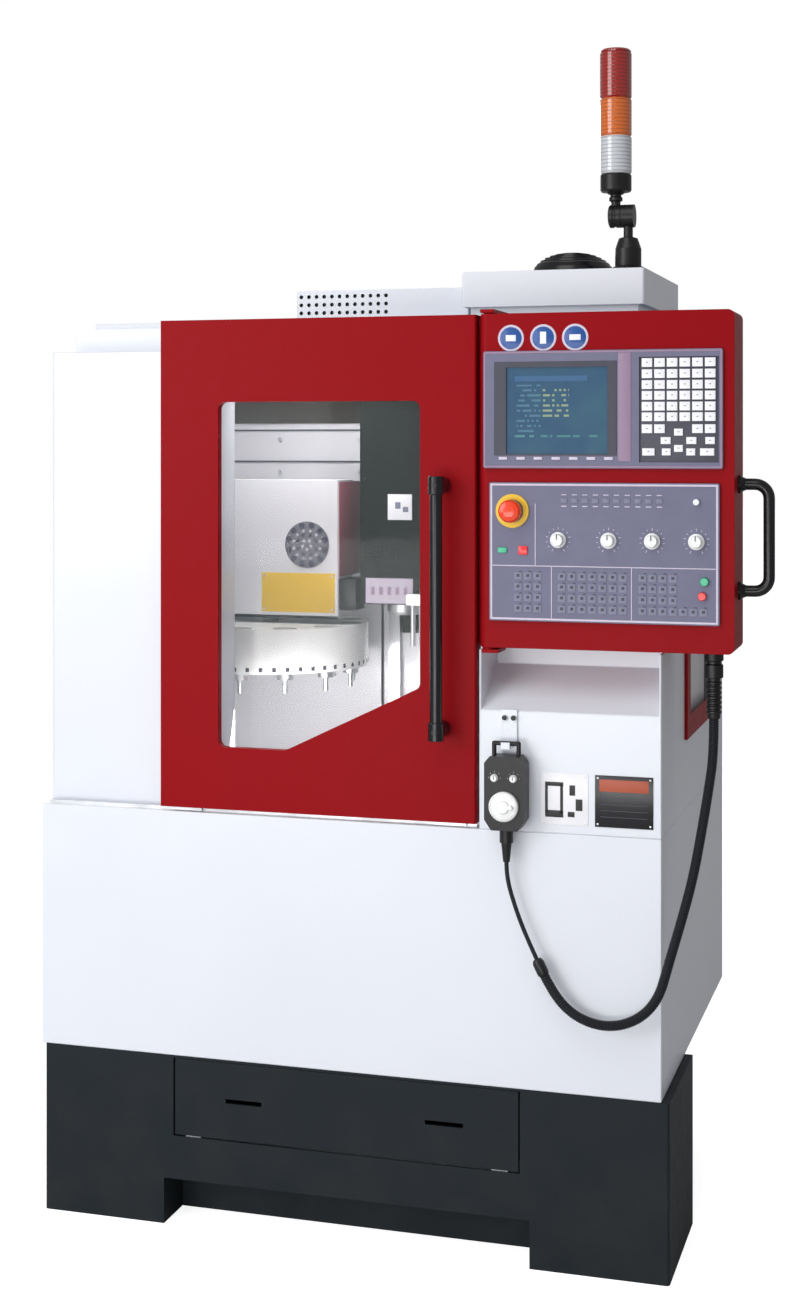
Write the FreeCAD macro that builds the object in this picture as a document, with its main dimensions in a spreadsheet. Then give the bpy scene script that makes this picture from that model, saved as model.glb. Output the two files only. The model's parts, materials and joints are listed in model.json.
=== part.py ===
import FreeCAD, Part
import math
import os
import re
import Sketcher
from FreeCAD import Placement, Rotation, Vector

# Compact vertical machining centre. X runs to the right along the front, Y to the back and
# Z up. The origin is on the floor, in the middle of the four anchor holes of the stand.

os.makedirs("parts", exist_ok=True)
doc = FreeCAD.newDocument("machining_centre")

# ---------------------------------------------------------------- driving sizes, mm
sizes = {
    # body
    "front": -540, "body_left": -600, "body_right": 580, "body_depth": 820, "sheet": 4,
    "ledge_height": 768, "roof_height": 1674, "skin_gap": 0.3,
    # base cabinet and its coolant drawer
    "base_left": -593, "base_right": 594, "base_depth": 280, "base_height": 314,
    "toe_left": -349, "toe_right": 347, "toe_height": 85, "toe_depth": 88,
    "drawer_half": 327, "drawer_low": 168, "drawer_high": 309, "drawer_depth": 240,
    "drawer_gap": 3, "slot_offset": 191, "slot_wide": 70, "slot_high": 8,
    # stand
    "stand_half": 480, "stand_half_deep": 250, "leg": 80, "foot_lift": 25, "pad_thick": 12,
    "pad_deep": 70, "anchor_x": 360, "anchor_y": 190, "anchor_hole": 7, "foot_screw": 12,
    "stand_plate": 20,
    # front covers
    "cover_setback": 40, "cover_top": 1625, "jamb": -267, "frame_setback": 146,
    "door_left": -357, "door_right": 250, "door_low": 776, "door_high": 1679,
    "door_thick": 36, "door_rim": 22, "pane": 5, "pane_lap": 10, "window_round": 14,
    "window_left": -241, "window_right": 147, "window_high": 1527, "window_corner": 1014,
    "window_toe": -110, "window_low": 890,
    "opening_right": 232, "opening_low": 800, "opening_high": 1636,
    "pull": 190, "pull_low": 944, "pull_high": 1377, "pull_stand": 48, "pull_tube": 11,
    "rail_low": 1636, "rail_high": 1650, "rail_back": 8, "rail_deep": 20, "roller": 10,
    # control side panel, under the console
    "panel_left": 256, "panel_break": 979, "panel_back": 1049, "panel_top": 1086,
    "panel_setback": 120,
    # console
    "console_left": 256, "console_right": 705, "console_low": 1090, "console_high": 1680,
    "console_deep": 122, "console_wall": 4, "hinge_inset": 14, "hinge_pin": 6,
    "pin_gap": 0.05, "grip_low": 1195, "grip_high": 1380, "grip_reach": 52, "grip_tube": 10,
    "display_left": 265, "display_right": 686, "display_low": 1407, "display_high": 1613,
    "display_proud": 6, "screen_left": 307, "screen_right": 487, "screen_low": 1432,
    "screen_high": 1584, "screen_sunk": 4, "keys_left": 542, "keys_right": 679,
    "keys_low": 1418, "keys_high": 1600,
    "plate_left": 276, "plate_right": 680, "plate_low": 1139, "plate_high": 1382,
    "plate_proud": 6, "dial_level": 1282, "dial_radius": 14, "dial_high": 15,
    "dial_one": 400, "dial_two": 489, "dial_three": 565, "dial_four": 641,
    "stop_across": 318, "stop_level": 1332, "stop_radius": 20, "stop_ring": 30,
    "button_radius": 9, "button_proud": 7, "start_across": 655, "start_level": 1214,
    "hold_across": 651, "hold_level": 1189,
    # hand pendant and its lines
    "pendant_across": 312, "pendant_half": 36, "pendant_low": 776, "pendant_high": 905,
    "pendant_front": 44, "pendant_back": 8, "bail_high": 930, "bail_wire": 4,
    "wheel_level": 819, "wheel_radius": 26, "selector_level": 868, "selector_half": 17,
    "hose": 9, "gland_low": 970, "gland_across": 660, "gland_deep": 75, "lead": 3.75,
    # roof
    "roof_front": 210, "roof_cap": 15, "box_left": 160, "box_right": 510, "box_front": 240,
    "box_deep": 422, "box_low": 1710, "box_high": 1777, "plinth_inset": 14,
    "dome_across": 336, "dome_deep": 430, "dome_radius": 83, "dome_high": 46,
    "vent_left": -195, "vent_front": 300, "vent_deep": 220, "vent_high": 1753,
    "vent_hole": 4, "vent_pitch": 16, "vent_columns": 12, "vent_rows": 3,
    "tower_across": 448.5, "tower_deep": 350, "tower_pivot": 1886, "tower_base": 33,
    "tower_offset": 12, "lamp_radius": 30, "lamp_low": 1933, "lamp_high": 2207,
    "knuckle": 22,
    # work zone
    "spindle_deep": 395, "nose_level": 1109, "head_half": 81, "head_low": 1131,
    "head_high": 1600, "head_front": 350, "head_back": 560,
    "column_half": 110, "column_front": 605, "column_back": 790, "column_high": 1640,
    "slide_rail": 12, "rail_gap": 0.3, "bed_half": 200, "bed_front": 190, "bed_high": 620,
    "saddle_high": 700, "saddle_half": 175, "saddle_half_deep": 110,
    "table_high": 790, "table_half": 230, "table_half_deep": 100, "slot_top": 7,
    "slot_foot": 13, "slot_pitch": 63, "lining": 610,
    "drum_across": -286, "drum_radius": 200, "drum_low": 1001, "drum_high": 1088,
    "tool_circle": 172, "tool_count": 12, "cover_left": -440, "cover_right": -125,
    "magazine_front": 350, "magazine_back": 445, "magazine_low": 1100, "magazine_high": 1377,
    "emblem_across": -191, "emblem_level": 1247, "emblem_ring": 20.5, "emblem_hole": 4.4,
    # side window and rear cabinet
    "side_front": 269, "side_back": 700, "side_low": 900, "side_high": 1560,
    "side_rim": 42, "side_proud": 6,
    "cabinet_left": -330, "cabinet_right": 370, "cabinet_low": 420, "cabinet_high": 1540,
    "cabinet_deep": 140, "gasket": 1.2, "switch_across": 230, "switch_level": 1180,
}

# Places that follow from the sizes, as expressions on their names.
places = {
    "body_back": "front + body_depth",
    "frame_front": "front + frame_setback",
    "frame_back": "frame_front + sheet",
    "cover_front": "front + cover_setback",
    "door_back": "front + door_thick",
    "pane_front": "front + door_thick / 2",
    "console_back": "front + console_deep",
    "pin_x": "console_left + hinge_inset",
    "pin_y": "front + hinge_inset",
    "plate_face": "front - plate_proud",
    "display_face": "front - display_proud",
    "pendant_y": "front - (pendant_front + pendant_back) / 2",
    "spindle_y": "front + spindle_deep",
    "lining_y": "front + lining",
    "cabinet_back": "body_back + cabinet_deep",
    "roof_top": "roof_height + roof_cap",
    "slot_level": "(drawer_low + drawer_high) / 2",
    "tower_y": "front + tower_deep",
    "dome_y": "front + dome_deep",
    "drum_y": "spindle_y",
    "table_foot": "saddle_high + 4",
}

sheet = doc.addObject("Spreadsheet::Sheet", "sizes")
for row, (name, value) in enumerate(sizes.items(), start=1):
    sheet.set(f"A{row}", name)
    sheet.set(f"B{row}", str(value))
    sheet.setAlias(f"B{row}", name)
doc.recompute()


def bound(text):
    """Expression text with each size name pointed at its cell, and each place written out."""
    def swap(match):
        word = match.group()
        if word in places:
            return f"({bound(places[word])})"
        return f"sizes.{word}" if word in sizes else word
    return re.sub(r"[a-z_]+", swap, str(text))


def value(text):
    """Number that an expression on the sizes gives now."""
    result = sheet.evalExpression(bound(text))
    return float(getattr(result, "Value", result))


def drive(thing, path, text):
    """Bind one property of an object to the sizes."""
    thing.setExpression(path, bound(text))


# ---------------------------------------------------------------- shape helpers
facing = {
    "x": Rotation(Vector(0, 1, 0), 90), "-x": Rotation(Vector(0, 1, 0), -90),
    "y": Rotation(Vector(1, 0, 0), -90), "-y": Rotation(Vector(1, 0, 0), 90),
    "z": Rotation(), "-z": Rotation(Vector(1, 0, 0), 180),
}
nodes = {}


def node(label, thing):
    """Name a finished sub-part, which is written to a file of that name."""
    thing.Label = label
    nodes[label] = thing
    return thing


def place(thing, at, axis="z"):
    """Set an object's own Z along an axis and bind its position."""
    thing.Placement = Placement(Vector(), facing[axis])
    for side, text in zip("xyz", at):
        drive(thing, f"Placement.Base.{side}", text)
    return thing


def box(label, across, deep, high):
    """Box between a low and a high expression on each axis."""
    thing = place(doc.addObject("Part::Box", label), (across[0], deep[0], high[0]))
    for size, (low, top) in zip(("Length", "Width", "Height"), (across, deep, high)):
        drive(thing, size, f"({top}) - ({low})")
    return thing


def rod(label, axis, at, radius, length):
    """Cylinder from a point, along an axis."""
    thing = place(doc.addObject("Part::Cylinder", label), at, axis)
    drive(thing, "Radius", radius)
    drive(thing, "Height", length)
    return thing


def joined(label, *pieces):
    """Union of pieces that touch or overlap."""
    thing = doc.addObject("Part::MultiFuse", label)
    thing.Shapes = list(pieces)
    thing.Refine = True
    return thing


def group(label, *pieces):
    """Separate solids kept in one sub-part."""
    thing = doc.addObject("Part::Compound", label)
    thing.Links = list(pieces)
    return thing


def cut(label, base, *tools):
    """Base with the tools taken away."""
    thing = doc.addObject("Part::Cut", label)
    thing.Base = base
    thing.Tool = tools[0] if len(tools) == 1 else group(f"{label}_tools", *tools)
    thing.Refine = True
    return thing


def plane_of(body, role):
    """Origin plane of a body, by its role."""
    return next(item for item in body.Origin.OriginFeatures if item.Role == role)


def pin_point(sketch, index, corner, across, up):
    """Hold one end of a sketch edge at driven coordinates."""
    for kind, text, zero_line in (("DistanceX", across, -2), ("DistanceY", up, -1)):
        if str(text) == "0":
            sketch.addConstraint(Sketcher.Constraint("PointOnObject", index, corner, zero_line))
            continue
        constraint = Sketcher.Constraint(kind, -1, 1, index, corner, value(text))
        drive(sketch, f"Constraints[{sketch.addConstraint(constraint)}]", text)


def sketch_on(body, role, outlines, circles=(), level="0"):
    """Sketch of closed outlines and circles on an origin plane, lifted to a level."""
    sketch = body.newObject("Sketcher::SketchObject", f"{body.Name}_sketch")
    sketch.AttachmentSupport = [(plane_of(body, role), "")]
    sketch.MapMode = "FlatFace"
    side = "-" if role == "XZ_Plane" else ""
    drive(sketch, ".AttachmentOffset.Base.z", f"{side}({level})")
    for outline in outlines:
        first = sketch.GeometryCount
        corners = [Vector(value(across), value(up), 0) for across, up in outline]
        for start, end in zip(corners, corners[1:] + corners[:1]):
            sketch.addGeometry(Part.LineSegment(start, end))
        for step in range(len(outline)):
            follower = first + (step + 1) % len(outline)
            sketch.addConstraint(Sketcher.Constraint("Coincident", first + step, 2, follower, 1))
        for step, (across, up) in enumerate(outline):
            pin_point(sketch, first + step, 1, across, up)
    for across, up, radius in circles:
        centre = Vector(value(across), value(up), 0)
        index = sketch.addGeometry(Part.Circle(centre, Vector(0, 0, 1), value(radius)))
        pin_point(sketch, index, 3, across, up)
        size = sketch.addConstraint(Sketcher.Constraint("Radius", index, value(radius)))
        drive(sketch, f"Constraints[{size}]", radius)
    return sketch


def padded(body, role, outlines, low, high, circles=()):
    """Pad sketched outlines from a low to a high level along the plane's world axis."""
    sketch = sketch_on(body, role, outlines, circles, low)
    pad = body.newObject("PartDesign::Pad", f"{body.Name}_pad")
    pad.Profile = sketch
    pad.Reversed = role == "XZ_Plane"
    drive(pad, "Length", f"({high}) - ({low})")
    doc.recompute()
    return pad


def pocketed(body, role, outlines, low, high, circles=()):
    """Pocket sketched outlines out of the body between two levels, and prove that it cut."""
    before = body.Shape.Volume
    sketch = sketch_on(body, role, outlines, circles, low)
    pocket = body.newObject("PartDesign::Pocket", f"{body.Name}_pocket")
    pocket.Profile = sketch
    pocket.Reversed = role != "XZ_Plane"
    drive(pocket, "Length", f"({high}) - ({low})")
    doc.recompute()
    if body.Shape.Volume > before - 1:
        raise ValueError(f"{body.Label}: a pocket cut nothing")
    return pocket


def rounded(body, radius, chosen):
    """Fillet the body's edges that a test picks by direction and midpoint."""
    tip = body.Tip
    names = []
    for number, edge in enumerate(tip.Shape.Edges, start=1):
        if len(edge.Vertexes) == 2 and isinstance(edge.Curve, Part.Line):
            direction = edge.Curve.Direction
            if chosen(direction, edge.CenterOfMass):
                names.append(f"Edge{number}")
    if not names:
        raise ValueError(f"{body.Label}: no edge to round")
    fillet = body.newObject("PartDesign::Fillet", f"{body.Name}_fillet")
    fillet.Base = (tip, names)
    drive(fillet, "Radius", radius)
    doc.recompute()
    return fillet


def slab(label, role, outline, low, high, circles=()):
    """Body padded from one outline."""
    body = doc.addObject("PartDesign::Body", label)
    padded(body, role, [outline], low, high, circles)
    return body


def rectangle(left, right, low, high):
    """Outline of a rectangle."""
    return [(left, low), (right, low), (right, high), (left, high)]


def turned(label, outline, at, axis="z"):
    """Body revolved from (radius, height) corners, set along an axis at a point."""
    body = doc.addObject("PartDesign::Body", label)
    sketch = sketch_on(body, "XZ_Plane", [outline])
    turn = body.newObject("PartDesign::Revolution", f"{label}_turn")
    turn.Profile = sketch
    turn.ReferenceAxis = (sketch, ["V_Axis"])
    turn.Angle = 360
    return place(body, at, axis)


def upright(direction, _middle):
    """True for an edge along Z."""
    return abs(direction.z) > 0.99


# ---------------------------------------------------------------- base, drawer and stand
def build_base():
    body = slab("base_shell", "XZ_Plane", [
        ("base_left", "0"), ("toe_left", "0"), ("toe_left", "toe_height"),
        ("toe_right", "toe_height"), ("toe_right", "0"), ("base_right", "0"),
        ("base_right", "base_height"), ("base_left", "base_height"),
    ], "front", "front + toe_depth")
    padded(body, "XZ_Plane", [rectangle("base_left", "base_right", "0", "base_height")],
           "front + toe_depth", "front + base_depth")
    rounded(body, "6", lambda direction, middle: upright(direction, middle)
            and middle.y < value("front + 1") and abs(middle.x) > value("base_right - 5"))
    pocketed(body, "XZ_Plane", [rectangle(
        "base_left + sheet", "base_right - sheet", "toe_height + sheet",
        "base_height - sheet")], "front + sheet", "front + base_depth + 1")
    pocketed(body, "XZ_Plane", [rectangle(
        "-drawer_half - drawer_gap", "drawer_half + drawer_gap", "drawer_low - drawer_gap",
        "base_height - sheet")], "front - 1", "front + sheet + 1")
    runners = [box(f"drawer_runner_{name}", across, ("front + sheet", "front + drawer_depth"),
                   ("toe_height + sheet", "drawer_low - 0.3"))
               for name, across in (("left", ("-drawer_half + 20", "-drawer_half + 50")),
                                    ("right", ("drawer_half - 50", "drawer_half - 20")))]
    node("base_cabinet", group("base_cabinet", body, *runners))

    panel = box("drawer_panel", ("-drawer_half", "drawer_half"), ("front", "front + sheet"),
                ("drawer_low", "drawer_high"))
    tray = box("drawer_tray", ("-drawer_half + 10", "drawer_half - 10"),
               ("front + sheet", "front + drawer_depth"), ("drawer_low", "drawer_high - 30"))
    hollow = box("drawer_hollow", ("-drawer_half + 12", "drawer_half - 12"),
                 ("front + sheet + 2", "front + drawer_depth - 2"),
                 ("drawer_low + 2", "drawer_high"))
    slots = [box(f"drawer_slot_{name}", (f"{middle} - slot_wide / 2", f"{middle} + slot_wide / 2"),
                 ("front - 1", "front + sheet + 3"),
                 ("slot_level - slot_high / 2", "slot_level + slot_high / 2"))
             for name, middle in (("left", "-slot_offset"), ("right", "slot_offset"))]
    node("coolant_drawer", cut("coolant_drawer", joined("drawer_blank", panel, tray),
                               hollow, *slots))


def build_stand():
    plate = box("stand_plate", ("-stand_half", "stand_half"),
                ("-stand_half_deep", "stand_half_deep"),
                ("base_height - stand_plate", "base_height"))
    pieces = [plate]
    feet = []
    for side, sign in (("left", "-"), ("right", "")):
        inner, outer = f"{sign}(stand_half - leg)", f"{sign}stand_half"
        across = (outer, inner) if sign else (inner, outer)
        pieces.append(box(f"stand_skid_{side}", across, ("-stand_half_deep", "stand_half_deep"),
                          ("foot_lift", "foot_lift + leg / 2")))
        for end, turn in (("front", "-"), ("rear", "")):
            near, far = f"{turn}(stand_half_deep - leg)", f"{turn}stand_half_deep"
            deep = (far, near) if turn else (near, far)
            pieces.append(box(f"stand_leg_{side}_{end}", across, deep,
                              ("foot_lift + leg / 2", "base_height - stand_plate")))
            screw_x = f"{sign}(stand_half - leg / 2)"
            edge = (f"{sign}stand_half", f"{sign}(anchor_x - 30)")
            pad = box(f"pad_{side}_{end}", edge if sign else edge[::-1],
                      (f"{turn}anchor_y - pad_deep / 2", f"{turn}anchor_y + pad_deep / 2"),
                      ("0", "pad_thick"))
            hole = rod(f"anchor_hole_{side}_{end}", "z",
                       (f"{sign}anchor_x", f"{turn}anchor_y", "-1"), "anchor_hole",
                       "pad_thick + 2")
            screw = rod(f"foot_screw_{side}_{end}", "z",
                        (screw_x, f"{turn}anchor_y", "pad_thick - 2"), "foot_screw",
                        "foot_lift - pad_thick + 2")
            feet.append(joined(f"foot_{side}_{end}", cut(f"pad_cut_{side}_{end}", pad, hole),
                               screw))
    for end, turn in (("front", "-"), ("rear", "")):
        near, far = f"{turn}(stand_half_deep - leg / 2)", f"{turn}stand_half_deep"
        pieces.append(box(f"stand_rail_{end}", ("-stand_half + leg", "stand_half - leg"),
                          (far, near) if turn else (near, far),
                          ("foot_lift", "foot_lift + leg / 2")))
    node("machine_stand", joined("machine_stand", *pieces))
    node("levelling_feet", group("levelling_feet", *feet))


# ---------------------------------------------------------------- outer covers
def build_apron():
    shell = box("apron_outer", ("body_left", "body_right"), ("front", "body_back"),
                ("base_height", "ledge_height"))
    inside = box("apron_inside", ("body_left + sheet", "body_right - sheet"),
                 ("front + sheet", "body_back - sheet"), ("base_height - 1", "ledge_height + 1"))
    ledge = box("apron_ledge", ("body_left + sheet", "body_right - sheet"),
                ("front + sheet", "frame_back"), ("ledge_height - sheet", "ledge_height"))
    lip = box("apron_lip", ("body_left + sheet", "body_right - sheet"),
              ("front + sheet", "front + 44"), ("base_height", "base_height + sheet"))
    seats = [box(f"apron_seat_{name}", across, ("stand_half_deep - 40", "body_back - sheet"),
                 ("base_height", "base_height + sheet"))
             for name, across in (("left", ("-stand_half", "-bed_half - 10")),
                                  ("right", ("bed_half + 10", "stand_half")))]
    node("lower_apron", joined("lower_apron", cut("apron_walls", shell, inside), ledge, lip,
                               *seats))

    wall = slab("panel_wall", "YZ_Plane", [
        ("front", "ledge_height"), ("front", "panel_break"),
        ("front + panel_setback", "panel_back"), ("front + panel_setback", "panel_top"),
        ("frame_front", "panel_top"), ("frame_front", "panel_top - sheet"),
        ("front + panel_setback + sheet", "panel_top - sheet"),
        ("front + panel_setback + sheet", "panel_back - sheet"),
        ("front + sheet", "panel_break - sheet / 2"), ("front + sheet", "ledge_height"),
    ], "panel_left", "body_right")
    cheeks = [box(f"panel_cheek_{name}", across, ("front", "frame_front"),
                  ("ledge_height", "panel_top"))
              for name, across in (("left", ("panel_left", "panel_left + sheet")),
                                   ("right", ("body_right - sheet", "body_right")))]
    node("control_side_panel", joined("control_side_panel", wall, *cheeks))

    cover = doc.addObject("PartDesign::Body", "left_front_cover")
    padded(cover, "XY_Plane", [rectangle("body_left", "jamb", "cover_front", "frame_front")],
           "ledge_height", "cover_top")
    rounded(cover, "8", lambda direction, middle: upright(direction, middle)
            and middle.y < value("cover_front + 1"))
    pocketed(cover, "XZ_Plane", [rectangle("body_left + sheet", "jamb - sheet",
                                           "ledge_height + sheet", "cover_top - sheet")],
             "cover_front + sheet", "frame_front + 1")
    node("left_front_cover", cover)

    frame = doc.addObject("PartDesign::Body", "opening_frame")
    padded(frame, "XZ_Plane", [
        rectangle("body_left", "body_right", "ledge_height", "roof_height"),
        rectangle("jamb", "opening_right", "opening_low", "opening_high")],
        "frame_front", "frame_back")
    node("opening_frame", frame)


def build_enclosure():
    walls = slab("enclosure_walls", "XY_Plane", [
        ("body_left", "frame_back"), ("body_left", "body_back"), ("body_right", "body_back"),
        ("body_right", "frame_back"), ("body_right - sheet", "frame_back"),
        ("body_right - sheet", "body_back - sheet"), ("body_left + sheet", "body_back - sheet"),
        ("body_left + sheet", "frame_back")], "ledge_height", "roof_height")
    opening = box("side_opening", ("body_right - 2 * sheet", "body_right + 1"),
                  ("front + side_front + side_rim / 2", "front + side_back - side_rim / 2"),
                  ("side_low + side_rim / 2", "side_high - side_rim / 2"))
    node("enclosure_shell", cut("enclosure_shell", walls, opening))

    rim = box("side_rim", ("body_right", "body_right + side_proud"),
              ("front + side_front", "front + side_back"), ("side_low", "side_high"))
    hole = box("side_hole", ("body_right - 1", "body_right + side_proud + 1"),
               ("front + side_front + side_rim", "front + side_back - side_rim"),
               ("side_low + side_rim", "side_high - side_rim"))
    rebate = box("side_rebate", ("body_right - 1", "body_right + side_proud / 2"),
                 ("front + side_front + side_rim / 2", "front + side_back - side_rim / 2"),
                 ("side_low + side_rim / 2", "side_high - side_rim / 2"))
    node("side_window_frame", cut("side_window_frame", rim, hole, rebate))
    node("side_window_pane", box(
        "side_window_pane", ("body_right", "body_right + side_proud / 2"),
        ("front + side_front + side_rim / 2", "front + side_back - side_rim / 2"),
        ("side_low + side_rim / 2", "side_high - side_rim / 2")))

    lid = box("roof_lid", ("body_left + sheet", "body_right - sheet"),
              ("frame_back", "body_back - sheet"), ("roof_height - sheet", "roof_height"))
    cap = box("roof_cap", ("body_left + 10", "body_right - 10"),
              ("front + roof_front", "body_back - 10"), ("roof_height", "roof_top"))
    duct = rod("roof_duct", "z", ("dome_across", "dome_y", "roof_height - 2 * sheet"),
               "dome_radius - 12", "roof_cap + 4 * sheet")
    pressing = box("cap_hollow", ("body_left + 14", "body_right - 14"),
                   ("front + roof_front + sheet", "body_back - 14"),
                   ("roof_height", "roof_top - sheet"))
    node("roof_panel", joined("roof_panel", cut("roof_cap_cut", cap, duct, pressing),
                              cut("roof_lid_cut", lid, duct)))


def build_roof():
    lid = doc.addObject("PartDesign::Body", "roof_box_lid")
    outline = rectangle("box_left", "box_right", "front + box_front",
                        "front + box_front + box_deep")
    padded(lid, "XY_Plane", [outline], "box_low", "box_high")
    rounded(lid, "5", upright)
    pocketed(lid, "XY_Plane", [rectangle(
        "box_left + sheet", "box_right - sheet", "front + box_front + sheet",
        "front + box_front + box_deep - sheet")], "box_low - 1", "box_high - sheet")
    pocketed(lid, "XY_Plane", [], "box_high - 2 * sheet", "box_high + 1",
             circles=[("dome_across", "dome_y", "dome_radius - 8")])
    outer = ("box_left + plinth_inset", "box_right - plinth_inset")
    plinth = box("roof_plinth_outer", outer,
                 ("front + box_front + plinth_inset",
                  "front + box_front + box_deep - plinth_inset"), ("roof_top", "box_low + 12"))
    hollow = box("roof_plinth_inside", ("box_left + plinth_inset + sheet",
                                        "box_right - plinth_inset - sheet"),
                 ("front + box_front + plinth_inset + sheet",
                  "front + box_front + box_deep - plinth_inset - sheet"),
                 ("roof_top - 1", "box_low + 13"))
    flanges = [box(f"plinth_flange_{name}", across, ("front + box_front + plinth_inset",
                   "front + box_front + box_deep - plinth_inset"),
                   ("box_low + 8", "box_low + 12"))
               for name, across in (
                   ("left", ("box_left + sheet", "box_left + plinth_inset + sheet")),
                   ("right", ("box_right - plinth_inset - sheet", "box_right - sheet")))]
    housing = joined("roof_housing", lid, cut("roof_plinth", plinth, hollow), *flanges)
    motor = rod("fan_motor_can", "z", ("dome_across", "dome_y", "roof_top"), "28", "24")
    shaft = rod("fan_motor_shaft", "z", ("dome_across", "dome_y", "roof_top + 24"), "4", "36")
    bridge = box("fan_bridge", ("dome_across - dome_radius", "dome_across + dome_radius"),
                 ("dome_y - 15", "dome_y + 15"), ("roof_top", "roof_top + 4"))
    node("roof_box", group("roof_box", housing, joined("fan_motor", motor, shaft, bridge)))
    hub = cut("fan_hub_cut", rod("fan_hub", "z", ("dome_across", "dome_y", "roof_top + 30"),
                                 "22", "26"),
              rod("fan_bore", "z", ("dome_across", "dome_y", "roof_top + 29"), "4.05", "28"))
    blades = []
    for index in range(6):
        blade = doc.addObject("Part::Box", f"fan_blade_{index}")
        drive(blade, "Length", "dome_radius - 36")
        blade.Width = 2.5
        blade.Height = 24
        turn = Rotation(Vector(0, 0, 1), index * 60) * Rotation(Vector(1, 0, 0), 35)
        blade.Placement = Placement(Vector(), turn)
        lean = math.radians(index * 60)
        drive(blade, "Placement.Base.x", f"dome_across + {20 * math.cos(lean):.4f}")
        drive(blade, "Placement.Base.y", f"dome_y + {20 * math.sin(lean):.4f}")
        drive(blade, "Placement.Base.z", "roof_top + 33")
        blades.append(blade)
    node("fan_rotor", joined("fan_rotor", hub, *blades))

    node("fan_dome", turned("fan_dome", [
        ("dome_radius - 12", "0"), ("dome_radius", "0"), ("dome_radius", "3"),
        ("dome_radius * 0.93", "dome_high * 0.28"), ("dome_radius * 0.74", "dome_high * 0.62"),
        ("dome_radius * 0.46", "dome_high * 0.87"), ("dome_radius * 0.18", "dome_high"),
        ("0", "dome_high"), ("0", "dome_high - 3"), ("dome_radius * 0.17", "dome_high - 3"),
        ("dome_radius * 0.44", "dome_high * 0.87 - 3"),
        ("dome_radius * 0.71", "dome_high * 0.62 - 3"),
        ("dome_radius * 0.9", "dome_high * 0.28 - 3"), ("dome_radius - 12", "3"),
    ], ("dome_across", "dome_y", "box_high")))

    vent = doc.addObject("PartDesign::Body", "vent_box")
    right = "box_left - 2"
    padded(vent, "XY_Plane", [rectangle("vent_left", right, "front + vent_front",
                                        "front + vent_front + vent_deep")],
           "roof_top", "vent_high")
    rounded(vent, "3", upright)
    pocketed(vent, "XY_Plane", [rectangle("vent_left + 2", f"{right} - 2",
                                          "front + vent_front + 2",
                                          "front + vent_front + vent_deep - 2")],
             "roof_top - 1", "vent_high - 2")
    holes = [(f"vent_left + vent_pitch * {column + 0.6:.1f}",
              f"vent_high - vent_pitch * {row + 0.75:.2f}", "vent_hole")
             for column in range(int(value("vent_columns")))
             for row in range(int(value("vent_rows")))]
    pocketed(vent, "XZ_Plane", [], "front + vent_front - 1", "front + vent_front + 3",
             circles=holes)
    node("vent_box", vent)


def build_tower():
    low = "tower_across + tower_offset"
    high = "tower_across - tower_offset"
    foot = turned("tower_foot", [
        ("0", "0"), ("tower_base", "0"), ("tower_base", "9"), ("tower_base * 0.76", "13"),
        ("tower_base * 0.76", "46"), ("tower_base * 0.55", "66"), ("9", "69"),
        ("9", "tower_pivot - box_high"), ("0", "tower_pivot - box_high"),
    ], (low, "tower_y", "box_high"))
    lower = rod("tower_knuckle_low", "x", ("tower_across + 0.2", "tower_y", "tower_pivot"),
                "knuckle", "knuckle + 2")
    pin = rod("tower_pin", "x", ("tower_across - 20", "tower_y", "tower_pivot"), "5", "30")
    node("tower_base", joined("tower_base", foot, lower, pin))

    upper = cut("tower_knuckle_high", rod(
        "tower_knuckle_blank", "x", ("tower_across - knuckle - 2.2", "tower_y", "tower_pivot"),
        "knuckle", "knuckle + 2"), rod("tower_bore", "x", (
            "tower_across - 21", "tower_y", "tower_pivot"), "5.05", "30"))
    neck = rod("tower_neck", "z", (high, "tower_y", "tower_pivot + knuckle - 4"), "9",
               "lamp_low - tower_pivot - knuckle + 6")
    stack = rod("tower_stack", "z", (high, "tower_y", "lamp_low"), "lamp_radius",
                "lamp_high - lamp_low")
    node("tower_lamp", joined("tower_lamp", upper, neck, stack))


# ---------------------------------------------------------------- sliding front door
def window_outline(grow):
    """Slanted window opening of the door, grown outward by a margin."""
    return [
        (f"window_left - {grow}", f"window_low - {grow}"),
        (f"window_toe + {grow} * 0.45", f"window_low - {grow}"),
        (f"window_right + {grow}", f"window_corner - {grow} * 0.6"),
        (f"window_right + {grow}", f"window_high + {grow}"),
        (f"window_left - {grow}", f"window_high + {grow}"),
    ]


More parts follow.
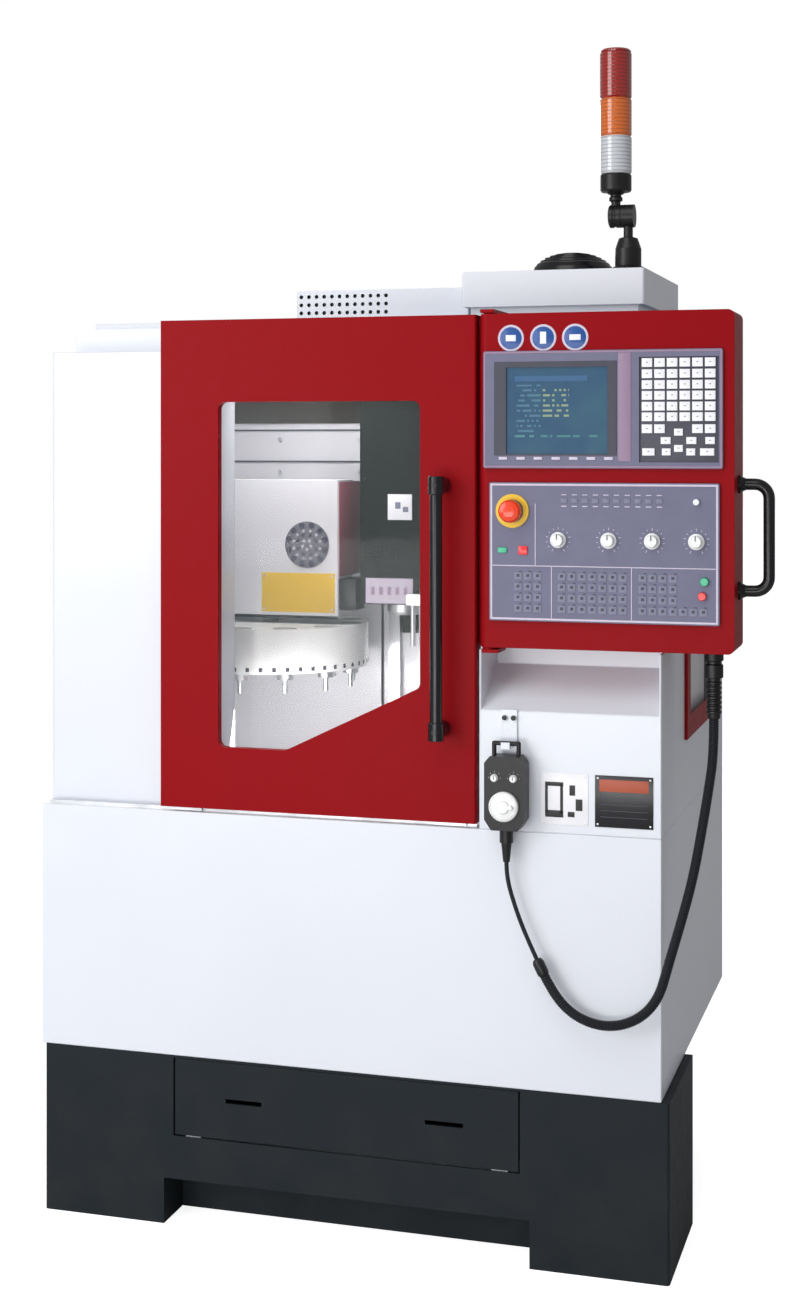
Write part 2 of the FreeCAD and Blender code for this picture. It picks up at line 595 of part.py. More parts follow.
def build_door():
    door = doc.addObject("PartDesign::Body", "door_panel")
    padded(door, "XZ_Plane", [rectangle("door_left", "door_right", "door_low", "door_high")],
           "front", "door_back")
    rounded(door, "4", lambda direction, middle: upright(direction, middle)
            and middle.y < value("front + 1"))
    pocketed(door, "XZ_Plane", [window_outline("0")], "front - 1", "door_back + 1")
    deep = value("door_thick")
    rounded(door, "window_round", lambda direction, middle: abs(direction.y) > 0.99
            and value("door_left + 50") < middle.x < value("door_right - 50")
            and value("door_low + 50") < middle.z < value("door_high - 50")
            and abs(middle.y - value("front") - deep / 2) < 1)
    pocketed(door, "XZ_Plane", [window_outline("(pane_lap + 0.3)")], "pane_front",
             "door_back + 1")
    rim = "(pane_lap + 15)"
    pocketed(door, "XZ_Plane", [
        rectangle("door_left + door_rim", f"window_left - {rim}", "door_low + door_rim",
                  "door_high - door_rim - 24"),
        rectangle(f"window_right + {rim}", "door_right - door_rim", "door_low + door_rim",
                  "door_high - door_rim - 24"),
        rectangle("window_left - 10", "window_right + 10", "door_low + door_rim",
                  f"window_low - {rim}"),
        rectangle("window_left - 10", "window_right + 10", f"window_high + {rim}",
                  "door_high - door_rim - 24")], "front + 3", "door_back + 1")
    node("door_panel", door)
    node("door_pane", slab("door_pane", "XZ_Plane", window_outline("pane_lap"), "pane_front",
                           "pane_front + pane"))

    grip = rod("pull_bar", "z", ("pull", "front - pull_stand", "pull_low"), "pull_tube",
               "pull_high - pull_low")
    pieces = [grip]
    for name, level in (("low", "pull_low"), ("high", "pull_high")):
        pieces.append(rod(f"pull_post_{name}", "y", ("pull", "front - pull_stand", level),
                          "pull_tube + 3", "pull_stand"))
        pieces.append(rod(f"pull_end_{name}", "z", ("pull", "front - pull_stand",
                          f"{level} - 16"), "pull_tube + 3", "32"))
    node("door_handle", joined("door_handle", *pieces))

    hangers = []
    for name, across in (("left", "60"), ("right", "200")):
        plate = box(f"hanger_plate_{name}", (across, f"{across} + 40"),
                    ("door_back", "door_back + 4"), ("rail_low - 4", "rail_high + 22"))
        arm = box(f"hanger_arm_{name}", (across, f"{across} + 40"),
                  ("door_back", "frame_front - rail_back - rail_deep + 4"),
                  ("rail_high + 18", "rail_high + 22"))
        cheek = box(f"hanger_cheek_{name}", (f"{across} + 10", f"{across} + 30"),
                    ("frame_front - rail_back - rail_deep - 6",
                     "frame_front - rail_back - rail_deep - 0.5"),
                    ("rail_high + 2", "rail_high + 22"))
        wheel = rod(f"hanger_roller_{name}", "y", (f"{across} + 20",
                    "frame_front - rail_back - rail_deep - 0.5",
                    "rail_high + rail_gap + roller"), "roller", "rail_deep - 2")
        hangers.append(joined(f"hanger_{name}", plate, arm, cheek, wheel))
    shoes = [box(f"door_shoe_{name}", (across, f"{across} + 60"), deep,
                 ("ledge_height + 1.5", "door_low"))
             for name, across, deep in (
                 ("a", "door_left + 20", ("front + 8", "front + 13")),
                 ("b", "door_left + 20", ("front + 23", "front + 28")),
                 ("c", "door_right - 80", ("front + 8", "front + 13")),
                 ("d", "door_right - 80", ("front + 23", "front + 28")))]
    node("door_hangers", group("door_hangers", *hangers, *shoes))

    top = box("door_rail_top", ("door_left + 5", "door_right - 2"),
              ("frame_front - rail_back - rail_deep", "frame_front"), ("rail_low", "rail_high"))
    guide = box("door_rail_guide", ("body_left + 10", "door_right - 2"),
                ("front + 14", "front + 22"), ("ledge_height", "door_low - 2"))
    node("door_rails", group("door_rails", top, guide))


# ---------------------------------------------------------------- swivelling console
def build_console():
    case = doc.addObject("PartDesign::Body", "console_shell")
    outline = rectangle("console_left", "console_right", "front", "console_back")
    padded(case, "XY_Plane", [outline], "console_low", "console_high")
    rounded(case, "hinge_inset - 0.2", lambda direction, middle: upright(direction, middle)
            and middle.x < value("console_left + 1") and middle.y < value("front + 1"))
    rounded(case, "12", lambda direction, middle: abs(direction.y) > 0.99
            and middle.x > value("console_right - 1"))
    pocketed(case, "XZ_Plane", [rectangle("console_left + 2 * hinge_inset",
                                          "console_right - console_wall",
                                          "console_low + console_wall",
                                          "console_high - console_wall")],
             "front + console_wall", "console_back + 1")
    for name, low, high in (("low", "console_low - 1", "console_low + 21"),
                            ("high", "console_high - 21", "console_high + 1")):
        pocketed(case, "XY_Plane", [], low, high,
                 circles=[("pin_x", "pin_y", "hinge_pin + pin_gap")])
    lid = box("console_back", ("console_left + 2 * hinge_inset", "console_right - console_wall"),
              ("console_back - console_wall", "console_back"),
              ("console_low + console_wall", "console_high - console_wall"))
    node("console_case", group("console_case", case, lid))

    low_arm = box("bracket_low_arm", ("panel_left + sheet", "panel_left + 34"),
                  ("front + 2", "front + 60"), ("panel_top - 6", "panel_top"))
    low_pin = rod("bracket_low_pin", "z", ("pin_x", "pin_y", "panel_top - 6"), "hinge_pin",
                  "24")
    washer = rod("bracket_low_washer", "z", ("pin_x", "pin_y", "panel_top"), "11",
                 "console_low - panel_top - skin_gap")
    high_arm = box("bracket_high_arm", ("pin_x - 13", "pin_x + 13"),
                   ("front + 2", "frame_back"), ("console_high + 2", "console_high + 8"))
    riser = box("bracket_riser", ("pin_x - 13", "pin_x + 13"), ("frame_front", "frame_back"),
                ("roof_height", "console_high + 2"))
    high_pin = rod("bracket_high_pin", "z", ("pin_x", "pin_y", "console_high - 16"),
                   "hinge_pin", "20")
    node("console_brackets", group("console_brackets",
                                   joined("bracket_low", low_arm, low_pin, washer),
                                   joined("bracket_high", high_arm, riser, high_pin)))

    unit = doc.addObject("PartDesign::Body", "display_unit")
    padded(unit, "XZ_Plane", [rectangle("display_left", "display_right", "display_low",
                                        "display_high")], "display_face", "front")
    rounded(unit, "4", lambda direction, middle: abs(direction.y) > 0.99)
    pocketed(unit, "XZ_Plane", [
        rectangle("screen_left", "screen_right", "screen_low", "screen_high"),
        rectangle("keys_left", "keys_right", "keys_low", "keys_high")],
        "display_face - 1", "display_face + screen_sunk")
    node("display_unit", unit)
    node("screen", box("screen", ("screen_left", "screen_right"),
                       ("display_face + screen_sunk - 2", "display_face + screen_sunk"),
                       ("screen_low", "screen_high")))

    stems = [("stop_across", "stop_level", "11.3")]
    stems += [(across, "dial_level", "4.3") for across in
              ("dial_one", "dial_two", "dial_three", "dial_four")]
    stems += [("start_across", "start_level", "button_radius - 2 + skin_gap"),
              ("hold_across", "hold_level", "button_radius - 2 + skin_gap")]
    plate = doc.addObject("PartDesign::Body", "operator_plate")
    padded(plate, "XZ_Plane", [rectangle("plate_left", "plate_right", "plate_low",
                                         "plate_high")], "plate_face", "front", circles=stems)
    rounded(plate, "3", lambda direction, middle: abs(direction.y) > 0.99)
    ring = cut("estop_ring", rod(
        "stop_ring_disc", "y", ("stop_across", "plate_face - 3", "stop_level"), "stop_ring",
        "3"), rod("stop_ring_bore", "y", ("stop_across", "plate_face - 4", "stop_level"),
                  "11.3", "5"))
    node("operator_plate", group("operator_plate", plate, ring))
    node("estop_button", turned("estop_button", [
        ("0", "0"), ("11", "0"), ("11", "14"), ("stop_radius - 2", "14"),
        ("stop_radius", "16"), ("stop_radius", "24"), ("stop_radius - 3", "29"),
        ("stop_radius / 2", "31"), ("0", "31.5"),
    ], ("stop_across", "plate_face + 0.5", "stop_level"), "-y"))
    for name in ("one", "two", "three", "four"):
        node(f"dial_{name}", turned(f"dial_{name}", [
            ("0", "0"), ("4", "0"), ("4", "4.3"), ("dial_radius", "4.3"),
            ("dial_radius", "7"), ("dial_radius - 3", "9"), ("dial_radius - 4", "dial_high + 3"),
            ("dial_radius - 5", "dial_high + 4"), ("0", "dial_high + 4"),
        ], (f"dial_{name}", "plate_face + 4", "dial_level"), "-y"))
    for name in ("start", "hold"):
        node(f"{name}_button", turned(f"{name}_button", [
            ("0", "0"), ("button_radius - 2", "0"), ("button_radius - 2", "button_proud + 2"),
            ("button_radius - 3", "button_proud + 3"), ("0", "button_proud + 3"),
        ], (f"{name}_across", "plate_face + 3", f"{name}_level"), "-y"))

    side = "console_right + grip_reach"
    middle = "front + console_deep / 2"
    bar = rod("grip_bar", "z", (side, middle, "grip_low"), "grip_tube", "grip_high - grip_low")
    arms = [rod(f"grip_arm_{name}", "x", ("console_right", middle, level), "grip_tube",
                "grip_reach") for name, level in (("low", "grip_low"), ("high", "grip_high"))]
    knees = []
    for name, level in (("low", "grip_low"), ("high", "grip_high")):
        knee = place(doc.addObject("Part::Sphere", f"grip_knee_{name}"), (side, middle, level))
        drive(knee, "Radius", "grip_tube")
        knees.append(knee)
    node("console_handle", joined("console_handle", bar, *arms, *knees))

    node("hose_gland", turned("hose_gland", [
        ("0", "0"), ("12", "0"), ("12", "8"), ("13.5", "9"), ("13.5", "30"), ("12", "31"),
        ("12", "58"), ("16", "60"), ("16", "78"), ("12", "80"), ("12", "98"), ("17", "100"),
        ("17", "console_low - gland_low"), ("0", "console_low - gland_low"),
    ], ("gland_across", "front + gland_deep", "gland_low")))


# ---------------------------------------------------------------- hand pendant and its lines
def build_pendant():
    across, deep = "pendant_across", "pendant_y"
    case = doc.addObject("PartDesign::Body", "pendant_shell")
    padded(case, "XZ_Plane", [[
        (f"{across} - 24", "pendant_low"), (f"{across} + 24", "pendant_low"),
        (f"{across} + pendant_half", "pendant_low + 18"),
        (f"{across} + pendant_half", "pendant_high - 12"),
        (f"{across} + 26", "pendant_high"), (f"{across} - 26", "pendant_high"),
        (f"{across} - pendant_half", "pendant_high - 12"),
        (f"{across} - pendant_half", "pendant_low + 18")]],
        "front - pendant_front", "front - pendant_back",
        circles=[(across, "wheel_level", "5.3"),
                 (f"{across} - selector_half", "selector_level", "3.3"),
                 (f"{across} + selector_half", "selector_level", "3.3")])
    rounded(case, "5", lambda direction, middle: abs(direction.y) > 0.99)
    boot = turned("pendant_boot", [
        ("0", "0"), ("6", "0"), ("8", "20"), ("9.5", "34"), ("12", "34"), ("12", "58"),
        ("0", "58")], (across, deep, "pendant_low - 57"))
    posts = [rod(f"bail_post_{name}", "z", (x, deep, "pendant_high - 4"), "bail_wire",
                 "bail_high - pendant_high + 4 - bail_wire")
             for name, x in (("left", f"{across} - 22"), ("right", f"{across} + 22"))]
    bar = rod("bail_bar", "x", (f"{across} - 22", deep, "bail_high - bail_wire"), "bail_wire",
              "44")
    ends = []
    for name, x in (("left", f"{across} - 22"), ("right", f"{across} + 22")):
        end = place(doc.addObject("Part::Sphere", f"bail_end_{name}"),
                    (x, deep, "bail_high - bail_wire"))
        drive(end, "Radius", "bail_wire")
        ends.append(end)
    node("pendant_case", joined("pendant_case", case, boot, *posts, bar, *ends))
    node("pendant_wheel", turned("pendant_wheel", [
        ("0", "0"), ("5", "0"), ("5", "6.3"), ("wheel_radius", "6.3"), ("wheel_radius", "13"),
        ("wheel_radius - 2", "15"), ("12", "16"), ("10", "19"), ("0", "19")],
        (across, "front - pendant_front + 6", "wheel_level"), "-y"))
    for name, sign in (("axis", "-"), ("step", "+")):
        node(f"{name}_selector", turned(f"{name}_selector", [
            ("0", "0"), ("3", "0"), ("3", "6.3"), ("7", "6.3"), ("7", "10"), ("5", "15"),
            ("0", "15")], (f"{across} {sign} selector_half", "front - pendant_front + 6",
                           "selector_level"), "-y"))

    under = "bail_high - 2 * bail_wire - skin_gap"
    plate = box("hook_plate", (f"{across} - 14", f"{across} + 14"), ("front - 4", "front"),
                (f"{under} - 14", "bail_high + 52"))
    shelf = box("hook_shelf", (f"{across} - 8", f"{across} + 8"),
                ("front - pendant_front + 8", "front - 4"), (f"{under} - 5", under))
    lip = box("hook_lip", (f"{across} - 8", f"{across} + 8"),
              ("front - pendant_front + 8", "front - pendant_front + 12"),
              (f"{under} - 5", f"{under} + 7"))
    screws = [rod(f"hook_screw_{name}", "-y", (x, "front - 4", "bail_high + 38"), "5", "4")
              for name, x in (("left", f"{across} - 8"), ("right", f"{across} + 8"))]
    node("pendant_hook", joined("pendant_hook", plate, shelf, lip, *screws))


# Routes of the free lines, from the console's gland down to the loop and up to the pendant.
# Depth is measured from the front.
hose_route = [
    (660, 75, 970), (660, 75, 908), (652, 58, 840), (643, 34, 771), (633, 11, 704),
    (617, -11, 636), (598, -28, 567), (580, -34, 500), (541.5, -35, 461), (489, -34, 446),
    (436, -32, 459), (395.5, -30, 495.5), (372, -28, 542),
]
lead_route = [
    (372, -28, 542), (346.15, -25.8, 593.15), (326, -26, 645), (312, -26, 693), (312, -26, 719),
]


def tube(label, route, radius):
    """Tube along straight runs joined by tangent arcs as large as the runs allow."""
    front = value("front")
    points = [Vector(x, front + y, z) for x, y, z in route]
    edges = []
    radii = []
    start = points[0]
    for before, corner, after in zip(points, points[1:], points[2:]):
        back = (before - corner).normalize()
        ahead = (after - corner).normalize()
        run = 0.45 * min((before - corner).Length, (after - corner).Length)
        half_turn = (math.pi - back.getAngle(ahead)) / 2
        radii.append(run / math.tan(half_turn))
        entry, leave = corner + back * run, corner + ahead * run
        bisector = (back + ahead).normalize()
        centre = corner + bisector * (radii[-1] / math.cos(half_turn))
        middle = centre - bisector * radii[-1]
        edges.append(Part.LineSegment(start, entry).toShape())
        edges.append(Part.Arc(entry, middle, leave).toShape())
        start = leave
    edges.append(Part.LineSegment(start, points[-1]).toShape())
    path = Part.Wire(edges)
    ring = Part.Wire(Part.makeCircle(radius, points[0], points[1] - points[0]))
    swept = path.makePipeShell([ring], True, False)
    thing = doc.addObject("Part::Feature", label)
    thing.Shape = swept
    thing.Placement = Placement()
    volume = math.pi * radius * radius * path.Length
    print(f"{label}: length {path.Length:.0f}, volume ratio {swept.Volume / volume:.4f}, radii",
          [round(size) for size in radii])
    return thing


def build_lines():
    node("pendant_hose", tube("pendant_hose", hose_route, value("hose")))
    node("pendant_lead", tube("pendant_lead", lead_route, value("lead")))


# ---------------------------------------------------------------- work zone
def build_bed():
    bed = box("bed_block", ("-bed_half", "bed_half"), ("front + bed_front",
              "front + column_back"), ("base_height", "bed_high"))
    hollow = box("bed_hollow", ("-bed_half + 35", "bed_half - 35"),
                 ("front + bed_front + 35", "front + column_back - 35"),
                 ("base_height - 1", "bed_high - 50"))
    node("bed_casting", cut("bed_casting", bed, hollow))

    column = box("column_block", ("-column_half", "column_half"), ("front + column_front",
                 "front + column_back"), ("bed_high", "column_high"))
    core = box("column_core", ("-column_half + 30", "column_half - 30"),
               ("front + column_front + 30", "front + column_back + 1"),
               ("bed_high + 40", "column_high - 40"))
    node("column_casting", cut("column_casting", column, core))

    rails = []
    for name, sign in (("left", "-"), ("right", "+")):
        centre = f"0 {sign} (saddle_half - 45)"
        rails.append(box(f"bed_rail_{name}", (f"{centre} - slide_rail", f"{centre} + slide_rail"),
                         ("front + bed_front + 5", "lining_y - 8"),
                         ("bed_high", "bed_high + 22")))
        high = f"0 {sign} (column_half - 30)"
        rails.append(box(f"column_rail_{name}", (f"{high} - slide_rail", f"{high} + slide_rail"),
                         ("front + column_front - 18", "front + column_front"),
                         ("bed_high + 160", "column_high - 10")))
    node("linear_rails", group("linear_rails", *rails))

    trays = []
    for name, sign, wall in (("left", "-", "body_left + sheet + 6"),
                             ("right", "+", "body_right - sheet - 6")):
        inner = f"0 {sign} (bed_half + 3)"
        inside = f"{wall} {'+' if sign == '-' else '-'} 3"
        trays.append(slab(f"tray_{name}", "XZ_Plane", [
            (inner, "bed_high - 40"), (f"0 {sign} (bed_half + 100)", "bed_high - 60"),
            (wall, "bed_high + 200"), (wall, "opening_high"), (inside, "opening_high"),
            (inside, "bed_high + 203"), (f"0 {sign} (bed_half + 99)", "bed_high - 57"),
            (inner, "bed_high - 37")],
            "frame_back + 10", "lining_y - 6"))
    back = box("lining_sheet", ("body_left + sheet + 6", "body_right - sheet - 6"),
               ("lining_y - 6", "lining_y - 3"), ("bed_high - 60", "roof_height - sheet"))
    slot = box("lining_slot", ("-column_half - 4", "column_half + 4"),
               ("lining_y - 7", "lining_y"), ("bed_high - 61", "roof_height"))
    bed_slot = box("lining_bed_slot", ("-bed_half - 3", "bed_half + 3"),
                   ("lining_y - 7", "lining_y"), ("bed_high - 61", "bed_high + 30"))
    node("inner_lining", group("inner_lining", *trays,
                               cut("lining_back", back, slot, bed_slot)))


def build_table():
    saddle = box("saddle_block", ("-saddle_half", "saddle_half"),
                 ("spindle_y - saddle_half_deep", "spindle_y + saddle_half_deep"),
                 ("bed_high + rail_gap + 2", "saddle_high"))
    grooves = [box(f"saddle_groove_{name}", (f"{centre} - slide_rail - rail_gap",
                                             f"{centre} + slide_rail + rail_gap"),
                   ("spindle_y - saddle_half_deep - 1", "spindle_y + saddle_half_deep + 1"),
                   ("bed_high", "bed_high + 22 + rail_gap"))
               for name, centre in (("left", "0 - (saddle_half - 45)"),
                                    ("right", "0 + (saddle_half - 45)"))]
    ways = [box(f"saddle_way_{name}", ("-saddle_half", "saddle_half"),
                (f"{centre} - slide_rail", f"{centre} + slide_rail"),
                ("saddle_high", "saddle_high + 20"))
            for name, centre in (("front", "spindle_y - 60"), ("rear", "spindle_y + 60"))]
    node("saddle", joined("saddle", cut("saddle_cut", saddle, *grooves), *ways))

    table = doc.addObject("PartDesign::Body", "table_blank")
    padded(table, "YZ_Plane", [rectangle(
        "spindle_y - table_half_deep", "spindle_y + table_half_deep", "table_foot",
        "table_high")], "-table_half", "table_half")
    for name, middle in (("front", "spindle_y - slot_pitch"), ("middle", "spindle_y"),
                         ("rear", "spindle_y + slot_pitch")):
        pocketed(table, "YZ_Plane", [[
            (f"{middle} - slot_foot", "table_high - 26"), (f"{middle} + slot_foot",
                                                           "table_high - 26"),
            (f"{middle} + slot_foot", "table_high - 15"), (f"{middle} + slot_top",
                                                           "table_high - 15"),
            (f"{middle} + slot_top", "table_high + 1"), (f"{middle} - slot_top",
                                                         "table_high + 1"),
            (f"{middle} - slot_top", "table_high - 15"), (f"{middle} - slot_foot",
                                                          "table_high - 15")]],
            "-table_half - 1", "table_half + 1")
    pocketed(table, "YZ_Plane", [
        rectangle(f"{centre} - slide_rail - rail_gap", f"{centre} + slide_rail + rail_gap",
                  "table_foot - 1", "saddle_high + 20 + rail_gap")
        for centre in ("spindle_y - 60", "spindle_y + 60")],
        "-table_half - 1", "table_half + 1")
    node("work_table", table)


def build_head():
    block = box("head_block", ("-head_half + 12", "head_half - 12"),
                ("front + head_front + 8", "front + column_front - 20"),
                ("head_low + 8", "head_high - 8"))
    grooves = [box(f"head_shoe_{name}", (f"{centre} - slide_rail - 10",
                                         f"{centre} + slide_rail + 10"),
                   ("front + column_front - 24", "front + column_front - 6"),
                   ("head_low + 60", "head_high - 60"))
               for name, centre in (("left", "0 - (column_half - 30)"),
                                    ("right", "0 + (column_half - 30)"))]
    tracks = [box(f"head_track_{name}", (f"{centre} - slide_rail - rail_gap",
                                         f"{centre} + slide_rail + rail_gap"),
                  ("front + column_front - 18 - rail_gap", "front + column_front"),
                  ("head_low", "head_high"))
              for name, centre in (("left", "0 - (column_half - 30)"),
                                   ("right", "0 + (column_half - 30)"))]
    web = box("head_web", ("-head_half + 12", "head_half - 12"),
              ("front + column_front - 40", "front + column_front - 22"),
              ("head_low + 60", "head_high - 60"))
    bore = rod("head_bore", "z", ("0", "spindle_y", "head_low - 1"), "32.05",
               "head_high - head_low + 2")
    nozzles = []
    for index, across in enumerate(("33", "50")):
        nozzles.append(rod(f"nozzle_{index}", "z", (across, "front + head_front - 6",
                                                    "head_low - 80"), "5", "82"))
    casting = cut("head_frame", joined("head_solid", block, web, *grooves), bore, *tracks)

    cover = doc.addObject("PartDesign::Body", "head_cover")
    padded(cover, "XY_Plane", [rectangle("-head_half", "head_half", "front + head_front",
                                         "front + head_back")], "head_low", "head_high")
    rounded(cover, "6", lambda direction, middle: upright(direction, middle)
            and middle.y < value("front + head_front + 1"))
    pocketed(cover, "XY_Plane", [rectangle(
        "-head_half + 12", "head_half - 12", "front + head_front + 8",
        "front + head_back + 1")], "head_low - 1", "head_high + 1")
    node("head_cover", cover)

    motor = joined("spindle_motor", rod(
        "motor_can", "z", ("0", "spindle_y", "head_high - 8"), "36", "50"), box(
            "motor_flange", ("-45", "45"), ("spindle_y - 36", "spindle_y + 45"),
            ("head_high - 8", "head_high + 4")))
    coolant = joined("coolant_nozzles", *nozzles, box(
        "nozzle_block", ("20", "62"), ("front + head_front - 12", "front + head_front"),
        ("head_low", "head_low + 22")))
    node("head_casting", group("head_casting", casting, motor, coolant))
    node("spindle", turned("spindle", [
        ("9", "0"), ("30", "0"), ("34", "6"), ("34", "22"), ("32", "22"), ("32", "200"),
        ("20", "200"), ("20", "380"), ("0", "380"), ("0", "60"), ("11", "60"), ("16", "2")],
        ("0", "spindle_y", "nose_level")))


def build_magazine():
    cover = doc.addObject("PartDesign::Body", "magazine_cover")
    padded(cover, "XY_Plane", [rectangle("cover_left", "cover_right",
                                         "front + magazine_front", "front + magazine_back")],
           "magazine_low", "magazine_high")
    rounded(cover, "4", upright)
    holes = [(f"emblem_across + emblem_ring * {math.cos(math.radians(30 * index)):.4f}",
              f"emblem_level + emblem_ring * {math.sin(math.radians(30 * index)):.4f}",
              "emblem_hole") for index in range(12)]
    pocketed(cover, "XY_Plane", [rectangle(
        "cover_left + 3", "cover_right - 3", "front + magazine_front + 3",
        "front + magazine_back - 3")], "magazine_low - 1", "magazine_high - 3")
    pocketed(cover, "XZ_Plane", [], "front + magazine_front - 1",
             "front + magazine_front + 4", circles=holes)
    rods, bores = [], []
    for name, deep in (("front", "front + magazine_front + 20"),
                       ("rear", "front + magazine_back - 20")):
        level = "magazine_low + 32"
        rods.append(rod(f"magazine_rod_{name}", "x", ("cover_left + 3", deep, level), "8",
                        "cover_right - cover_left - 6"))
        bores.append(rod(f"carriage_bore_{name}", "x", ("drum_across - 50", deep, level),
                         "8.05", "100"))
    bracket = box("magazine_bracket", ("drum_across - 60", "drum_across + 60"),
                  ("front + magazine_back", "lining_y - 6"),
                  ("magazine_high - 60", "magazine_high - 50"))
    web = box("magazine_web", ("drum_across - 5", "drum_across + 5"),
              ("front + magazine_back", "lining_y - 6"),
              ("magazine_high - 120", "magazine_high - 60"))
    node("magazine_cover", group("magazine_cover", joined("magazine_housing", cover, bracket,
                                                          web), *rods))
    block = box("carriage_block", ("drum_across - 39", "drum_across + 39"),
                ("front + magazine_front + 6", "front + magazine_back - 6"),
                ("magazine_low + 14", "magazine_low + 50"))
    shaft = rod("drum_shaft", "z", ("drum_across", "drum_y", "drum_low + 10"), "15",
                "magazine_low - drum_low + 10")
    motor = rod("drum_motor", "z", ("drum_across", "drum_y", "magazine_low + 50"), "34", "120")
    node("magazine_carriage", joined("magazine_carriage", cut("carriage_cut", block, *bores),
                                     shaft, motor))

    drum = turned("drum_blank", [
        ("15.05", "0"), ("drum_radius", "0"), ("drum_radius", "drum_high - drum_low"),
        ("15.05", "drum_high - drum_low")], ("drum_across", "drum_y", "drum_low"))
    pockets, tools = [], []
    for index in range(int(value("tool_count"))):
        lean = math.radians(360 / value("tool_count") * index)
        at = (f"drum_across + tool_circle * {math.cos(lean):.6f}",
              f"drum_y + tool_circle * {math.sin(lean):.6f}")
        pockets.append(rod(f"tool_pocket_{index}", "z", (*at, "drum_low - 1"), "24.5",
                           "drum_high - drum_low + 2"))
        tools.append(turned(f"tool_{index}", [
            ("0", "0"), ("5", "0"), ("5", "26"), ("16", "27"), ("16", "52"), ("23", "53"),
            ("23", "64"), ("17", "65"), ("15.9", "66"), ("8", "112"), ("0", "112")],
            (*at, "drum_low - 40")))
    ring = cut("drum_ring", turned("drum_web", [
        ("tool_circle - 30", "0"), ("tool_circle + 6", "0"), ("tool_circle + 6", "10"),
        ("tool_circle - 30", "10")], ("drum_across", "drum_y", "drum_low + 14")),
        *[rod(f"ring_hole_{index}", "z", (
            f"drum_across + tool_circle * {math.cos(math.radians(30 * index)):.6f}",
            f"drum_y + tool_circle * {math.sin(math.radians(30 * index)):.6f}",
            "drum_low + 13"), "23.2", "12") for index in range(12)])
    node("tool_drum", joined("tool_drum", cut("drum_cut", drum, *pockets), ring))
    node("drum_tools", group("drum_tools", *tools))


# ---------------------------------------------------------------- rear cabinet
def build_cabinet():
    outer = box("cabinet_outer", ("cabinet_left", "cabinet_right"),
                ("body_back", "cabinet_back"), ("cabinet_low", "cabinet_high"))
    inside = box("cabinet_inside", ("cabinet_left + sheet", "cabinet_right - sheet"),
                 ("body_back + sheet", "cabinet_back + 1"),
                 ("cabinet_low + sheet", "cabinet_high - sheet"))
    hinge_x, hinge_y = "cabinet_left + 5", "cabinet_back + gasket + 8"
    knuckles = []
    for name, level in (("low", "cabinet_low + 120"), ("high", "cabinet_high - 150")):
        leaf = box(f"hinge_leaf_{name}", ("cabinet_left - 3", "cabinet_left"),
                   ("cabinet_back - 30", hinge_y), (level, f"{level} + 30"))
        arm = box(f"hinge_arm_{name}", ("cabinet_left - 3", hinge_x),
                  (f"{hinge_y} - 1", f"{hinge_y} + 4"), (level, f"{level} + 30"))
        pin = rod(f"hinge_pin_{name}", "z", (hinge_x, hinge_y, level), "4", "60")
        knuckles.append(joined(f"hinge_{name}", leaf, arm, pin))
    shell = joined("cabinet_shell", cut("cabinet_cut", outer, inside), *knuckles)
    back_panel = box("mounting_plate", ("cabinet_left + 30", "cabinet_right - 30"),
                     ("body_back + sheet", "body_back + sheet + 3"),
                     ("cabinet_low + 40", "cabinet_high - 40"))
    drives = [box(f"drive_{index}", (f"cabinet_left + 60 + {index * 110}",
                                     f"cabinet_left + 140 + {index * 110}"),
                  ("body_back + sheet + 3", "body_back + cabinet_deep - 30"),
                  ("cabinet_high - 400", "cabinet_high - 120")) for index in range(5)]
    node("electrical_cabinet", group("electrical_cabinet", shell,
                                     joined("drive_rack", back_panel, *drives)))

    leaf = box("cabinet_leaf", ("cabinet_left + 1", "cabinet_right"),
               ("cabinet_back + gasket", "cabinet_back + gasket + sheet"),
               ("cabinet_low", "cabinet_high"))
    knuckles, clear = [], []
    for name, level in (("low", "cabinet_low + 120"), ("high", "cabinet_high - 150")):
        knuckles.append(rod(f"leaf_knuckle_{name}", "z", (hinge_x, hinge_y, f"{level} + 30.3"),
                            "7", "29.7"))
        clear.append(rod(f"leaf_bore_{name}", "z", (hinge_x, hinge_y, f"{level} - 1"),
                         "4.05", "62"))
        clear.append(box(f"leaf_relief_{name}", ("cabinet_left - 4", f"{hinge_x} + 3"),
                         ("cabinet_back", f"{hinge_y} + 8"), (f"{level} - 1",
                                                              f"{level} + 30.3")))
    latch = box("leaf_latch", ("cabinet_right - 40", "cabinet_right - 20"),
                ("cabinet_back + gasket + sheet", "cabinet_back + gasket + sheet + 18"),
                ("switch_level - 230", "switch_level - 110"))
    seat = rod("switch_seat", "y", ("switch_across", "cabinet_back", "switch_level"), "8.3",
               "20")
    node("cabinet_door", cut("cabinet_door", joined("cabinet_leaf_all", leaf, latch,
                                                    *knuckles), *clear, seat))
    plate = turned("switch_disc", [
        ("0", "0"), ("8", "0"), ("8", "4.3"), ("26", "4.3"), ("26", "8"), ("22", "11"),
        ("0", "11")], ("switch_across", "cabinet_back + gasket", "switch_level"), "y")
    bar = box("switch_bar", ("switch_across - 7", "switch_across + 7"),
              ("cabinet_back + gasket + 8", "cabinet_back + gasket + 30"),
              ("switch_level - 24", "switch_level + 24"))
    node("main_switch", joined("main_switch", plate, bar))


for build in (build_base, build_stand, build_apron, build_enclosure, build_roof, build_tower,
              build_door, build_console, build_pendant, build_lines, build_bed, build_table,
              build_head, build_magazine, build_cabinet):
    build()
doc.recompute()

